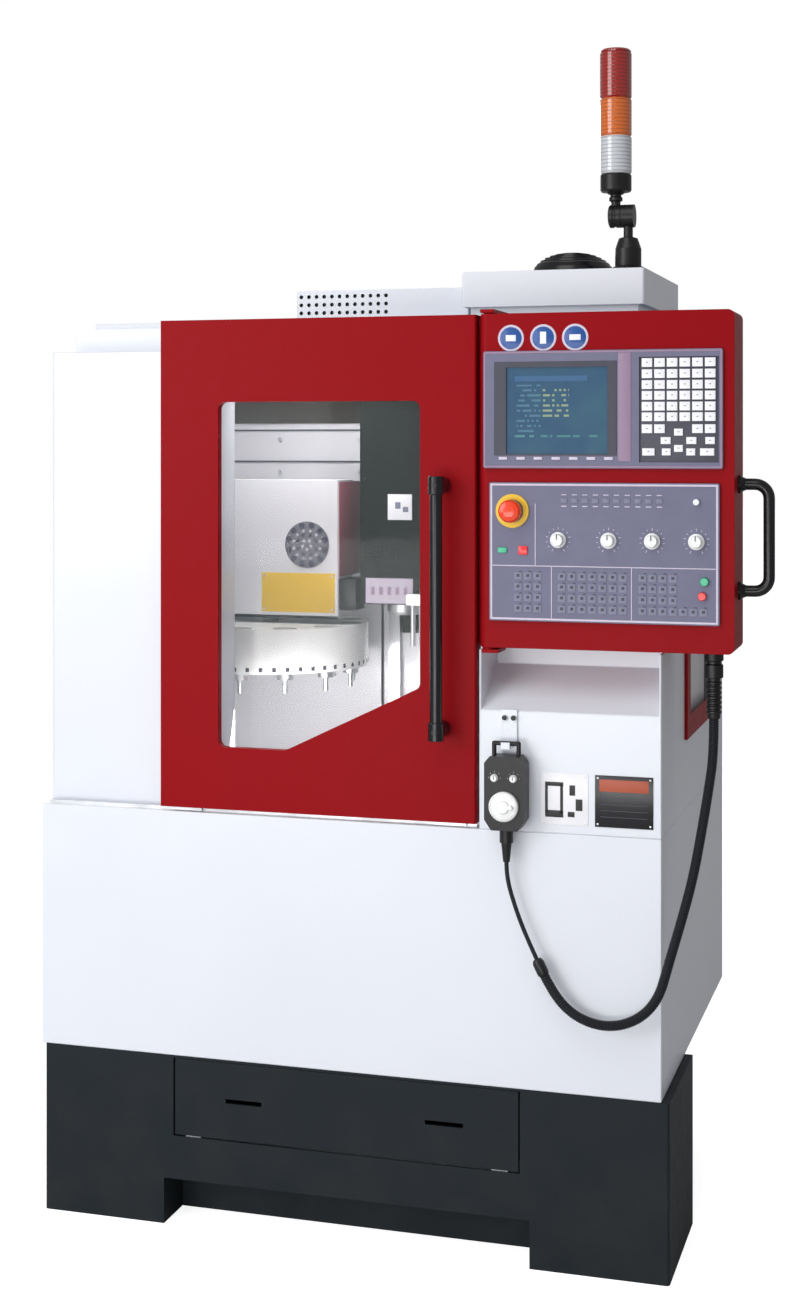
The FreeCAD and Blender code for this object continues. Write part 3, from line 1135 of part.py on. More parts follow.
for thing in doc.Objects:
    if "Invalid" in thing.State or "Error" in thing.State:
        raise ValueError(f"{thing.Label}: failed to build")
for label, thing in nodes.items():
    if thing.Shape.isNull() or not thing.Shape.isValid() or not thing.Shape.Solids:
        raise ValueError(f"{label}: shape is not valid")
for label, thing in nodes.items():
    thing.Shape.exportStep(f"parts/{label}.step")
    box_now = thing.Shape.BoundBox
    print(f"{label}: {len(thing.Shape.Solids)} solids,",
          [round(edge) for edge in (box_now.XMin, box_now.XMax, box_now.YMin, box_now.YMax,
                                    box_now.ZMin, box_now.ZMax)])
print(len(nodes), "sub-parts")
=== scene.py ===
import json
import math

import bmesh
import bpy
from mathutils import Matrix, Vector
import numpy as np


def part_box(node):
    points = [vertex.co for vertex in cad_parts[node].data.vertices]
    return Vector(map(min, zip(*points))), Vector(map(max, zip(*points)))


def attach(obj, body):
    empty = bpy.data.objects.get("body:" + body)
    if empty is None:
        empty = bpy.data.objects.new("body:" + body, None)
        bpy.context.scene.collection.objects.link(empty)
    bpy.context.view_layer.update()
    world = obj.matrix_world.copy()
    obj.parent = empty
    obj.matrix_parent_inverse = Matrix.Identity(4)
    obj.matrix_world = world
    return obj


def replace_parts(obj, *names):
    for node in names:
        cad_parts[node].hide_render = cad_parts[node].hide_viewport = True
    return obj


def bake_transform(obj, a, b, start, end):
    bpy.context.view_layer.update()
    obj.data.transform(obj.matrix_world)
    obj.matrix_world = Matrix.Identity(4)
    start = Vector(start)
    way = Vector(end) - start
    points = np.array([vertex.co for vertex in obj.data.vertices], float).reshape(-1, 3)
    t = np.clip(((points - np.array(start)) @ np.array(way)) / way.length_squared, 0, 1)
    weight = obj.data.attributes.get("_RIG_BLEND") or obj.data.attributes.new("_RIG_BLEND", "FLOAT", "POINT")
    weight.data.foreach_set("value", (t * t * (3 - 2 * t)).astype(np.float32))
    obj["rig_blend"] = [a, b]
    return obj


# Looks of a compact vertical machining centre. Metres, Z up, the operator stands at -Y.
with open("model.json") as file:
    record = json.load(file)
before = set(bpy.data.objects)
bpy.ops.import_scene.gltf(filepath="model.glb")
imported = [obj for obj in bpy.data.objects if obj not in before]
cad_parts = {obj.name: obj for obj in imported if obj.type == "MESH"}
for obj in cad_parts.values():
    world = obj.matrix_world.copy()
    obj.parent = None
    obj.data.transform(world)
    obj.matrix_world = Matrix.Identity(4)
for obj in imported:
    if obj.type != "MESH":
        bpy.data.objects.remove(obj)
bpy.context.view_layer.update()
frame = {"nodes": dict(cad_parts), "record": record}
nodes = frame["nodes"]
bodyOf = {node: body for body, members in frame["record"]["behaviour"]["bodies"].items()
          for node in members}
scene = bpy.context.scene
print("frame loaded,", len(nodes), "CAD nodes")

shot = {"place": (1.1036, -3.8362, 1.4489), "turn": 16.616, "lens": 52.83, "drop": -0.1605}
cameraData = bpy.data.cameras.new("camera")
cameraData.lens = shot["lens"]
cameraData.shift_y = shot["drop"]
camera = bpy.data.objects.new("camera", cameraData)
camera.location = shot["place"]
camera.rotation_euler = (math.pi / 2, 0, math.radians(shot["turn"]))
scene.collection.objects.link(camera)
scene.camera = camera


def mm(*numbers):  # millimetres to a place in metres
    return Vector(number / 1000 for number in numbers)


class Reading:  # a node's output that is added, scaled and compared like a number
    def __init__(self, book, node, output=0):
        self.book, self.node, self.socket = book, node, node.outputs[output]

    def other(self, output):
        return Reading(self.book, self.node, output)

    def work(self, operation, *values):
        return self.book.node("ShaderNodeMath", {"operation": operation},
                              dict(enumerate(values)))

    def __add__(self, value):
        return self.work("ADD", self, value)

    def __sub__(self, value):
        return self.work("SUBTRACT", self, value)

    def __rsub__(self, value):
        return self.work("SUBTRACT", value, self)

    def __mul__(self, value):
        return self.work("MULTIPLY", self, value)

    def __truediv__(self, value):
        return self.work("DIVIDE", self, value)

    def __rtruediv__(self, value):
        return self.work("DIVIDE", value, self)

    def __gt__(self, value):
        return self.work("GREATER_THAN", self, value)

    def __lt__(self, value):
        return self.work("LESS_THAN", self, value)


class NodeBook:  # a node tree that is being filled in
    def __init__(self, tree):
        self.tree = tree

    def node(self, kind, settings=None, sockets=None, output=0):
        made = self.tree.nodes.new(kind)
        for key, value in (settings or {}).items():
            setattr(made, key, value)
        for key, value in (sockets or {}).items():
            self.plug(made.inputs[key], value)
        return Reading(self, made, output)

    def plug(self, socket, value):
        if isinstance(value, Reading):
            self.tree.links.new(value.socket, socket)
        else:
            socket.default_value = value


def shade(colour, amount):  # a darker or lighter tone of a colour
    return (*(min(1, channel * amount) for channel in colour[:3]), 1)


class Finish(NodeBook):  # a painted, moulded or metal finish
    def __init__(self, name, colour, roughness, fixed=None):
        self.material = bpy.data.materials.new(name)
        self.material.use_nodes = True
        super().__init__(self.material.node_tree)
        self.shader = self.tree.nodes["Principled BSDF"]
        self.give("Base Color", (*colour, 1))
        self.give("Roughness", roughness)
        for socket, value in (fixed or {}).items():
            self.give(socket, value)
        self.place = self.node("ShaderNodeTexCoord", output="Object")

    def give(self, socket, value):
        self.plug(self.shader.inputs[socket], value)

    def noise(self, scale, detail=2, along=(1, 1, 1)):
        spot = self.node("ShaderNodeMapping", sockets={"Vector": self.place, "Scale": along})
        return self.node("ShaderNodeTexNoise",
                         sockets={"Vector": spot, "Scale": scale, "Detail": detail})

    def axes(self):
        apart = self.node("ShaderNodeSeparateXYZ", sockets={0: self.place})
        return apart, apart.other("Y"), apart.other("Z")

    def between(self, mask, first, second):
        return self.node("ShaderNodeMix", {"data_type": "RGBA"},
                         {0: mask, 6: first, 7: second}, 2)

    def span(self, value, low, high):  # 0 below low, 1 above high
        return self.node("ShaderNodeMapRange", {"interpolation_type": "SMOOTHSTEP"},
                         {"Value": value, "From Min": low, "From Max": high})

    def relief(self, height, distance, strength=1.0):
        self.give("Normal", self.node("ShaderNodeBump", sockets={
            "Height": height, "Distance": distance, "Strength": strength}))


def painted(name, colour, roughness, peel=0.3, coat=0.0, grime=0.0, speck=0.0, gloss=0.5):
    finish = Finish(name, colour, roughness, {"Coat Weight": coat, "Coat Roughness": 0.1,
                                              "Specular IOR Level": gloss})
    tone = finish.between(finish.noise(2.2, 3), shade(colour, 0.94), shade(colour, 1.04))
    if speck:  # fine flakes of a textured powder coat
        flakes = finish.span(finish.noise(900, 1), 0.56, 0.72)
        tone = finish.between(flakes * speck, tone, shade(colour, 2.6))
    if grime:  # workshop dust that gathers low down
        height = finish.axes()[2]
        dusty = (1 - finish.span(height, 0.02, 0.42)) * finish.span(finish.noise(9, 5), 0.3, 0.8)
        tone = finish.between(dusty * grime, tone, (0.16, 0.15, 0.135, 1))
    finish.give("Base Color", tone)
    finish.give("Roughness", finish.noise(35, 3) * 0.14 + (roughness - 0.07))
    finish.relief(finish.noise(420, 1), 0.00012, peel)
    return finish.material


def moulded(name, colour, roughness, grain=0.35, coat=0.0, glow=0.0, gloss=0.35):
    finish = Finish(name, colour, roughness, {"Coat Weight": coat, "Coat Roughness": 0.08,
                                              "Specular IOR Level": gloss})
    tone = finish.between(finish.noise(30, 3), shade(colour, 0.9), shade(colour, 1.08))
    finish.give("Base Color", tone)
    finish.give("Roughness", finish.noise(140, 2) * 0.12 + (roughness - 0.06))
    finish.relief(finish.noise(1500, 1), 0.0002, grain)
    if glow:
        finish.give("Emission Color", (*colour, 1))
        finish.give("Emission Strength", glow)
    return finish.material


def metal(name, colour, roughness, along, wear=0.3):
    finish = Finish(name, colour, roughness, {"Metallic": 1.0})
    brushed = finish.noise(60, 4, along)
    blotch = finish.span(finish.noise(14, 4), 0.45, 0.75)
    tone = finish.between(brushed, shade(colour, 0.8), shade(colour, 1.12))
    finish.give("Base Color", finish.between(blotch * wear, tone, shade(colour, 0.6)))
    finish.give("Roughness", brushed * 0.22 + blotch * 0.1 + (roughness - 0.12))
    finish.relief(brushed, 0.0002, 0.25)
    return finish.material


def casting(name, colour):  # painted iron with a sand-cast skin
    finish = Finish(name, colour, 0.55, {"Coat Weight": 0.1})
    lumps = finish.noise(70, 5)
    finish.give("Base Color", finish.between(lumps, shade(colour, 0.85), shade(colour, 1.1)))
    finish.give("Roughness", finish.noise(25, 3) * 0.2 + 0.42)
    finish.relief(lumps, 0.0012, 0.5)
    return finish.material


def lens(name, colour, glow):  # ribbed translucent lamp cover
    finish = Finish(name, colour, 0.16, {"Coat Weight": 0.8, "Coat Roughness": 0.05,
                                         "Emission Strength": glow})
    height = finish.axes()[2]
    step = height.work("FRACT", height * 140)
    band = finish.span(step.work("ABSOLUTE", step - 0.5), 0.32, 0.48)
    finish.give("Base Color", finish.between(band, (*colour, 1), shade(colour, 0.55)))
    finish.give("Emission Color", finish.between(finish.noise(20, 2), (*colour, 1),
                                                 shade(colour, 0.5)))
    finish.relief(band, 0.0006, 0.6)
    return finish.material


def screenGlass(name, node):  # a lit display with rows of plain blocks for figures
    low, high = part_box(node)
    finish = Finish(name, (0.02, 0.09, 0.17), 0.12, {"Coat Weight": 0.6,
                                                     "Coat Roughness": 0.05,
                                                     "Emission Strength": 0.12})
    x, y, z = finish.axes()
    across = (x - low.x) / (high.x - low.x)
    up = (z - low.z) / (high.z - low.z)
    sky = finish.between(finish.noise(14, 3), (0.022, 0.055, 0.15, 1), (0.045, 0.13, 0.17, 1))
    row, column = up * 17, across * 44
    cell = finish.node("ShaderNodeCombineXYZ", sockets={
        "X": column.work("FLOOR", column), "Y": row.work("FLOOR", row)})
    chance = finish.node("ShaderNodeTexWhiteNoise", {"noise_dimensions": "2D"},
                         {"Vector": cell})
    part = row.work("FRACT", row)
    inRow = (part > 0.3) * (part < 0.72)
    block = inRow * (chance > 0.42)
    figures = block * (across > 0.36) * (across < 0.62) * (up > 0.4) * (up < 0.76)
    words = block * (across > 0.1) * (across < 0.34) * (up > 0.16) * (up < 0.8)
    foot = block * (across > 0.08) * (across < 0.9) * (up > 0.16) * (up < 0.25)
    head = (up > 0.84) * (up < 0.9) * (across > 0.08) * (across < 0.8)
    tone = finish.between(head * 0.5, sky, (0.07, 0.16, 0.33, 1))
    tone = finish.between(words * 0.25, tone, (0.2, 0.45, 0.5, 1))
    tone = finish.between(foot * 0.5, tone, (0.10, 0.32, 0.28, 1))
    tone = finish.between(figures * 0.7, tone, (0.34, 0.42, 0.25, 1))
    finish.give("Base Color", tone)
    finish.give("Emission Color", tone)
    finish.give("Roughness", finish.noise(60, 3) * 0.12 + 0.08)
    return finish.material


def clearGlass(name):
    finish = Finish(name, (0.25, 0.30, 0.30), 0.04, {"Alpha": 0.07, "Coat Weight": 0.2})
    smear = finish.span(finish.noise(5, 5), 0.45, 0.8)
    finish.give("Roughness", smear * 0.1 + 0.03)
    return finish.material


coats = {
    "base": painted("charcoalCoat", (0.0150, 0.0195, 0.0235), 0.5, 0.4,
                    grime=0.06, speck=0.06, gloss=0.12),
    "white": painted("machineWhite", (0.74, 0.765, 0.83), 0.42, 0.22,
                     coat=0.25, grime=0.06),
    "lining": painted("liningWhite", (0.78, 0.77, 0.80), 0.38, 0.2, coat=0.3),
    "red": painted("deepRed", (0.275, 0.0042, 0.0075), 0.38, gloss=0.05),
    "rust": painted("rustOrange", (0.42, 0.075, 0.03), 0.45, 0.2),
    # painted shade and a painted reflection of the red door, for the magazine cover's side
    "sideShadeReflection": painted("mauvePlate", (0.52, 0.16, 0.22), 0.45, 0.2),
    "yellow": painted("yellowPlate", (0.83, 0.52, 0.015), 0.45, 0.1),
    "cast": casting("castGrey", (0.30, 0.32, 0.32)),
    "ground": metal("groundSteel", (0.62, 0.63, 0.64), 0.32, (1, 30, 30)),
    "zinc": metal("zincSteel", (0.66, 0.67, 0.70), 0.38, (3, 3, 12), 0.5),
    "blackPaint": painted("blackSatin", (0.010, 0.010, 0.012), 0.22, gloss=0.35),
    "headBlack": painted("headBlack", (0.0095, 0.011, 0.0105), 0.55, gloss=0.08),
    # painted shade: a dark brown-grey that stands for the shadow under the roof inside the window
    "bandDark": painted("bandDark", (0.045, 0.038, 0.033), 0.7, gloss=0.1),
    "black": moulded("blackMoulded", (0.010, 0.010, 0.011), 0.36),
    "rubber": moulded("blackRubber", (0.012, 0.013, 0.017), 0.5, 0.6, gloss=0.25),
    "panel": moulded("violetPanel", (0.150, 0.150, 0.235), 0.48, 0.2),
    "panelKey": moulded("violetKey", (0.20, 0.20, 0.29), 0.42, 0.2),
    "panelLine": moulded("paleLine", (0.62, 0.56, 0.68), 0.45, 0.1),
    "ventGrey": moulded("ventGrey", (0.16, 0.155, 0.19), 0.45, 0.2),
    "plateLilac": moulded("plateLilac", (0.50, 0.44, 0.53), 0.5, 0.1),
    "lilac": moulded("lilacTrim", (0.30, 0.21, 0.31), 0.45, 0.1),
    "bezel": moulded("bezelGrey", (0.055, 0.055, 0.080), 0.4, 0.3),
    "keyWhite": moulded("keyWhite", (0.86, 0.86, 0.90), 0.35, 0.15, coat=0.2),
    "dialWhite": moulded("dialWhite", (0.84, 0.85, 0.84), 0.3, 0.1, coat=0.3),
    "stopRed": moulded("stopRed", (0.85, 0.055, 0.012), 0.25, 0.1, coat=0.4),
    "holdRed": moulded("holdRed", (0.75, 0.03, 0.03), 0.3, 0.1, coat=0.3, glow=0.15),
    "green": moulded("keyGreen", (0.02, 0.40, 0.20), 0.3, 0.1, coat=0.3, glow=0.15),
    "blue": moulded("discBlue", (0.012, 0.075, 0.30), 0.4, 0.1, coat=0.2),
    "navy": moulded("navyDisc", (0.035, 0.035, 0.075), 0.45, 0.1),
    "lampRed": lens("lensRed", (0.30, 0.012, 0.008), 0.03),
    "lampAmber": lens("lensAmber", (0.60, 0.125, 0.012), 0.05),
    "lampWhite": lens("lensWhite", (0.56, 0.58, 0.62), 0.02),
    "glass": clearGlass("clearGlass"),
    "screen": screenGlass("litScreen", "screen"),
}
print("finishes made,", len(coats))


class Recipe(NodeBook):  # a Geometry Nodes tree whose sizes are named inputs
    def __init__(self, name, inputs):
        super().__init__(bpy.data.node_groups.new(name, "GeometryNodeTree"))
        face = self.tree.interface
        for way in ("INPUT", "OUTPUT"):
            face.new_socket("Geometry", in_out=way, socket_type="NodeSocketGeometry")
        self.keys = {label: face.new_socket(
            label, in_out="INPUT", socket_type="NodeSocket" + kind).identifier
            for label, kind in {**inputs, "Material": "Material"}.items()}
        self.start = self.node("NodeGroupInput")

    def size(self, label):
        return self.start.other(label)

    def solid(self, corners, radius, taper, depth):  # a disc or block with a chamfered top
        cone = self.node("GeometryNodeMeshCone", {"fill_type": "NGON"}, {
            "Vertices": corners, "Side Segments": 2, "Radius Bottom": radius,
            "Radius Top": radius * taper, "Depth": depth})
        place = self.node("GeometryNodeInputPosition")
        level = self.node("ShaderNodeSeparateXYZ", sockets={0: place}, output="Z") / depth
        wider = 2 / (taper + 1)
        grow = self.node("ShaderNodeCombineXYZ", sockets={"X": wider, "Y": wider, "Z": 1.7})
        moved = self.node("ShaderNodeVectorMath", {"operation": "MULTIPLY"},
                          {0: place, 1: grow})
        return self.node("GeometryNodeSetPosition", sockets={
            "Geometry": cone, "Selection": (level > 0.4) * (level < 0.6),
            "Position": moved})

    def attribute(self, name):
        return self.node("GeometryNodeInputNamedAttribute",
                         {"data_type": "FLOAT_VECTOR"}, {"Name": name})

    def stamped(self, shape):  # the shape on every point, sized and turned as it says
        turn = self.node("FunctionNodeEulerToRotation", sockets={0: self.attribute("turn")})
        return self.node("GeometryNodeInstanceOnPoints", sockets={
            "Points": self.start, "Instance": shape, "Rotation": turn,
            "Scale": self.attribute("size")})

    def close(self, geometry):
        whole = self.node("GeometryNodeRealizeInstances", sockets={0: geometry})
        coated = self.node("GeometryNodeSetMaterial", sockets={
            "Geometry": whole, "Material": self.size("Material")})
        end = self.tree.nodes.new("NodeGroupOutput")
        self.plug(end.inputs[0], coated)


def markRecipe():
    book = Recipe("raisedMarks", {"Corners": "Int", "Half Width": "Float",
                                  "Corner Turn": "Float", "Taper": "Float"})
    shape = book.solid(book.size("Corners"), book.size("Half Width"), book.size("Taper"), 1.0)
    spin = book.node("ShaderNodeCombineXYZ", sockets={"Z": book.size("Corner Turn")})
    turned = book.node("GeometryNodeTransform", sockets={
        "Geometry": shape, "Rotation": book.node("FunctionNodeEulerToRotation",
                                                 sockets={0: spin})})
    book.close(book.stamped(turned))
    return book


def screwRecipe():
    book = Recipe("socketScrews", {"Head Radius": "Float", "Head Height": "Float",
                                   "Socket Radius": "Float"})
    head = book.solid(18, book.size("Head Radius"), 0.86, book.size("Head Height"))
    hexagon = book.node("GeometryNodeMeshCylinder", sockets={
        "Vertices": 6, "Radius": book.size("Socket Radius"),
        "Depth": book.size("Head Height")})
    lift = book.node("ShaderNodeCombineXYZ", sockets={"Z": book.size("Head Height")})
    raised = book.node("GeometryNodeTransform", sockets={"Geometry": hexagon,
                                                         "Translation": lift})
    screw = book.node("GeometryNodeMeshBoolean", {"operation": "DIFFERENCE",
                                                  "solver": "EXACT"},
                      {"Mesh 1": head, "Mesh 2": raised})
    book.close(book.stamped(screw))
    return book


def louvreRecipe():
    book = Recipe("louvres", {"Louvre Length": "Float", "Louvre Lip": "Float"})
    arc = book.node("GeometryNodeCurveArc", {"mode": "RADIUS"}, {
        "Resolution": 7, "Radius": book.size("Louvre Lip"), "Sweep Angle": math.pi / 2,
        "Connect Center": True})
    half = book.size("Louvre Length") / 2
    rail = book.node("GeometryNodeCurvePrimitiveLine", {"mode": "POINTS"}, {
        "Start": book.node("ShaderNodeCombineXYZ", sockets={"X": half * -1}),
        "End": book.node("ShaderNodeCombineXYZ", sockets={"X": half})})
    hood = book.node("GeometryNodeCurveToMesh", sockets={
        "Curve": rail, "Profile Curve": arc, "Fill Caps": True})
    book.close(book.stamped(hood))
    return book


def hoseRecipe():
    book = Recipe("ridgedHose", {"Ridge Pitch": "Float", "Core Radius": "Float",
                                 "Ridge Height": "Float"})
    line = book.node("GeometryNodeMeshToCurve", sockets={"Mesh": book.start})
    even = book.node("GeometryNodeResampleCurve", {"mode": "LENGTH"}, {
        "Curve": line, "Length": book.size("Ridge Pitch") / 4})
    along = book.node("GeometryNodeSplineParameter", output="Length")
    wave = along.work("SINE", along / book.size("Ridge Pitch") * (2 * math.pi))
    radius = wave * book.size("Ridge Height") + book.size("Core Radius")
    ring = book.node("GeometryNodeCurvePrimitiveCircle", sockets={"Resolution": 16,
                                                                  "Radius": 1.0})
    book.close(book.node("GeometryNodeCurveToMesh", sockets={
        "Curve": even, "Profile Curve": ring, "Scale": radius, "Fill Caps": True}))
    return book


recipes = {"marks": markRecipe(), "screws": screwRecipe(), "louvres": louvreRecipe(),
           "hose": hoseRecipe()}
print("recipes made,", len(recipes))


def linked(name, mesh):
    made = bpy.data.objects.new(name, mesh)
    scene.collection.objects.link(made)
    return made


easeAngle = math.radians(32)  # corners sharper than this get a bevel


def smoothed(mesh):
    mesh.shade_smooth()
    mesh.set_sharp_from_angle(angle=easeAngle)
    return mesh


def built(name, build, coat):  # an object from a bmesh, which is freed
    mesh = bpy.data.meshes.new(name)
    build.to_mesh(mesh)
    build.free()
    mesh.materials.append(coats[coat])
    return linked(name, smoothed(mesh))


def easeEdges(made, width):
    bevel = made.modifiers.new("easedEdges", "BEVEL")
    bevel.width, bevel.segments, bevel.angle_limit = width, 2, easeAngle


def settle(made, body):
    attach(made, body)
    return made


def grown(name, recipe, seed, sizes, coat):  # the plain mesh that a recipe makes from a seed
    start = linked(name + "Seed", seed)
    modifier = start.modifiers.new("recipe", "NODES")
    modifier.node_group = recipes[recipe].tree
    for label, value in {**sizes, "Material": coats[coat]}.items():
        modifier[recipes[recipe].keys[label]] = value
    ready = start.evaluated_get(bpy.context.evaluated_depsgraph_get())
    mesh = bpy.data.meshes.new_from_object(ready)
    for attribute in [a.name for a in mesh.attributes if a.name in ("size", "turn")]:
        mesh.attributes.remove(mesh.attributes[attribute])
    bpy.data.objects.remove(start)
    return linked(name, smoothed(mesh))


def seedOf(name, spots):  # points that carry a size and a turn each
    seed = bpy.data.meshes.new(name + "Seed")
    seed.from_pydata([spot[0] for spot in spots], [], [])
    for column, label in ((1, "size"), (2, "turn")):
        values = seed.attributes.new(label, "FLOAT_VECTOR", "POINT")
        values.data.foreach_set("vector", [n for spot in spots for n in spot[column]])
    return seed


facing = {"front": (math.pi / 2, 0, 0), "back": (-math.pi / 2, 0, 0), "up": (0, 0, 0),
          "down": (math.pi, 0, 0), "right": (0, math.pi / 2, 0), "left": (0, -math.pi / 2, 0)}
shapes = {"block": {"Corners": 4, "Half Width": math.sqrt(0.5), "Corner Turn": math.pi / 4},
          "disc": {"Corners": 16, "Half Width": 0.5, "Corner Turn": 0.0}}


def marks(name, spots, coat, body, shape="block", taper=0.88):
    # spots are (place, (width, height, rise), turn), in metres and radians
    made = grown(name, "marks", seedOf(name, spots), {**shapes[shape], "Taper": taper}, coat)
    return settle(made, body)


def screws(name, places, side, body, radius=0.004, height=0.0025, coat="zinc"):
    spots = [(place, (1, 1, 1), facing[side]) for place in places]
    made = grown(name, "screws", seedOf(name, spots), {
        "Head Radius": radius, "Head Height": height, "Socket Radius": radius * 0.5}, coat)
    return settle(made, body)


def block(name, low, high, coat, body, edge=0.001, slotName=None):
    build = bmesh.new()
    bmesh.ops.create_cube(build, size=1)
    middle, size = (Vector(low) + Vector(high)) / 2, Vector(high) - Vector(low)
    for corner in build.verts:
        corner.co = Vector(c * s for c, s in zip(corner.co, size)) + middle
    bmesh.ops.bevel(build, geom=build.edges, offset=min(edge, min(size) * 0.4), segments=2,
                    profile=0.6, affect="EDGES")
    return settle(built(name, build, coat), body)


def turnedPiece(name, outline, place, coat, body, axis="z", steps=48, flutes=(0, 0)):
    # a lathe shape from (radius, height) pairs, with a count and depth of flutes
    frames = {"z": Matrix.Identity(3), "-z": Matrix.Rotation(math.pi, 3, "X"),
              "-y": Matrix.Rotation(math.pi / 2, 3, "X"),
              "y": Matrix.Rotation(-math.pi / 2, 3, "X"),
              "x": Matrix.Rotation(math.pi / 2, 3, "Y")}
    build = bmesh.new()
    rings = []
    for radius, height in outline:
        ring = []
        for index in range(steps if radius > 1e-6 else 1):
            angle = 2 * math.pi * index / steps
            reach = radius * (1 + flutes[1] * math.cos(flutes[0] * angle))
            ring.append(build.verts.new(Vector((reach * math.cos(angle),
                                                reach * math.sin(angle), height))))
        rings.append(ring)
    for lower, upper in zip(rings, rings[1:]):
        for index in range(steps):
            after = (index + 1) % steps
            corners = [lower[index % len(lower)], lower[after % len(lower)],
                       upper[after % len(upper)], upper[index % len(upper)]]
            corners = list(dict.fromkeys(corners))
            if len(corners) > 2:
                build.faces.new(corners)
    if outline[0] == outline[-1]:
        bmesh.ops.remove_doubles(build, verts=build.verts, dist=1e-7)
    else:
        for ring in (rings[0], rings[-1]):
            if len(ring) > 1:
                build.faces.new(ring)
    bmesh.ops.recalc_face_normals(build, faces=build.faces)
    bmesh.ops.transform(build, matrix=frames[axis].to_4x4(), verts=build.verts)
    bmesh.ops.translate(build, vec=Vector(place), verts=build.verts)
    return settle(built(name, build, coat), body)


def softened(node, coat, edge, name=None, keep=None):
    # a copy of a CAD node, merged and with eased edges, or only the solids that keep wants
    build = bmesh.new()
    build.from_mesh(nodes[node].data)
    bmesh.ops.remove_doubles(build, verts=build.verts, dist=1e-6)
    if keep:
        left = set(build.verts)
        while left:
            island, edgeOfIt = set(), [left.pop()]
            while edgeOfIt:
                corner = edgeOfIt.pop()
                island.add(corner)
                for link in corner.link_edges:
                    other = link.other_vert(corner)
                    if other in left:
                        left.discard(other)
                        edgeOfIt.append(other)
            spots = [corner.co for corner in island]
            low = Vector(map(min, zip(*spots)))
            high = Vector(map(max, zip(*spots)))
            if not keep(low, high):
                bmesh.ops.delete(build, geom=list(island), context="VERTS")
    bmesh.ops.dissolve_limit(build, angle_limit=math.radians(0.6), verts=build.verts,
                             edges=build.edges)
    bmesh.ops.connect_verts_concave(build, faces=build.faces[:])
    mesh = bpy.data.meshes.new(name or node)
    build.to_mesh(mesh)
    build.free()
    mesh.materials.append(coats[coat])
    made = linked(name or node + "Coat", smoothed(mesh))
    easeEdges(made, edge)
    flat = made.modifiers.new("flatFaces", "WEIGHTED_NORMAL")
    flat.keep_sharp = True
    return settle(made, bodyOf[node])


eased = {  # sheet metal and castings whose edges are eased, in metres
    "coolant_drawer": ("base", 0.0015), "lower_apron": ("white", 0.002),
    "control_side_panel": ("white", 0.002), "left_front_cover": ("white", 0.002),
    "enclosure_shell": ("white", 0.002), "side_window_frame": ("red", 0.0015),
    "roof_panel": ("white", 0.0015), "console_brackets": ("red", 0.001),
    "bed_casting": ("lining", 0.004), "column_casting": ("lining", 0.004),
    "door_panel": ("red", 0.0012), "door_handle": ("blackPaint", 0.001),
    "console_case": ("red", 0.0016), "display_unit": ("panel", 0.001),
    "cabinet_door": ("white", 0.0015),
    "saddle": ("cast", 0.002), "work_table": ("ground", 0.0008),
    "head_cover": ("headBlack", 0.002), "pendant_case": ("black", 0.0008),
    "pendant_hook": ("white", 0.0005), "opening_frame": ("white", 0.001),
    "inner_lining": ("lining", 0.001),
}
plain = {  # finish of each node that keeps its CAD mesh
    "base": ("machine_stand",), "zinc": ("levelling_feet", "door_rails", "door_hangers"),
    "glass": ("side_window_pane", "door_pane"), "black": ("fan_rotor", "tower_base"),
    "white": ("vent_box",), "ground": ("linear_rails", "spindle", "drum_tools"),
    "screen": ("screen",), "stopRed": ("estop_button",), "green": ("start_button",),
    "holdRed": ("hold_button",), "cast": ("magazine_carriage",),
    "dialWhite": ("tool_drum", "axis_selector", "step_selector", "pendant_wheel", "dial_one",
                  "dial_two", "dial_three", "dial_four"),
}
for node, (coat, edge) in eased.items():
    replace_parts(softened(node, coat, edge), node)
for coat, members in plain.items():
    for node in members:
        nodes[node].data.materials.clear()
        nodes[node].data.materials.append(coats[coat])


def parted(node, pieces):  # a node of several solids, each group with its own finish
    for index, (name, coat, edge, keep) in enumerate(pieces):
        made = softened(node, coat, edge, name, keep)
        if index == 0:
            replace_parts(made, node)


parted("base_cabinet", [
    ("baseCabinet", "base", 0.0015, lambda low, high: high.x - low.x > 1),
    ("drawerRunners", "zinc", 0.0005, lambda low, high: high.x - low.x <= 1)])
parted("roof_box", [
    ("roofBox", "white", 0.0015, lambda low, high: high.x - low.x > 0.3),
    ("fanMotor", "cast", 0.001, lambda low, high: high.x - low.x <= 0.3)])
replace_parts(softened("operator_plate", "panel", 0.0008), "operator_plate")
parted("head_casting", [
    ("headCasting", "cast", 0.002, lambda low, high: low.z > 1.12 and high.x - low.x > 0.15),
    ("spindleMotor", "black", 0.001, lambda low, high: low.z > 1.5),
    ("coolantNozzles", "zinc", 0.0005, lambda low, high: low.z < 1.12)])
parted("magazine_cover", [
    ("magazineCover", "lining", 0.0015, lambda low, high: high.z - low.z > 0.1),
    ("magazineRods", "ground", 0.0003, lambda low, high: high.z - low.z <= 0.1)])
parted("electrical_cabinet", [
    ("cabinetShell", "white", 0.0015, lambda low, high: low.x < -0.31),
    ("driveRack", "bezel", 0.002, lambda low, high: low.x >= -0.31)])
print("CAD nodes dressed")

# hose and lead of the hand pendant, as (x, y, z) in mm
hoseRoute = [(660, -465, 970), (660, -465, 908), (652, -482, 840), (643, -506, 771),
             (633, -529, 704), (617, -551, 636), (598, -568, 567), (580, -574, 500),
             (541.5, -575, 461), (489, -574, 446), (436, -572, 459), (395.5, -570, 495.5),
             (372, -568, 542)]
leadRoute = [(372, -568, 542), (346.15, -565.8, 593.15), (326, -566, 645), (312, -566, 693),
             (312, -566, 719)]
lines = {"hoseRadius": 0.009, "ridge": 0.0006, "ridgePitch": 0.0042, "leadRadius": 0.00375}


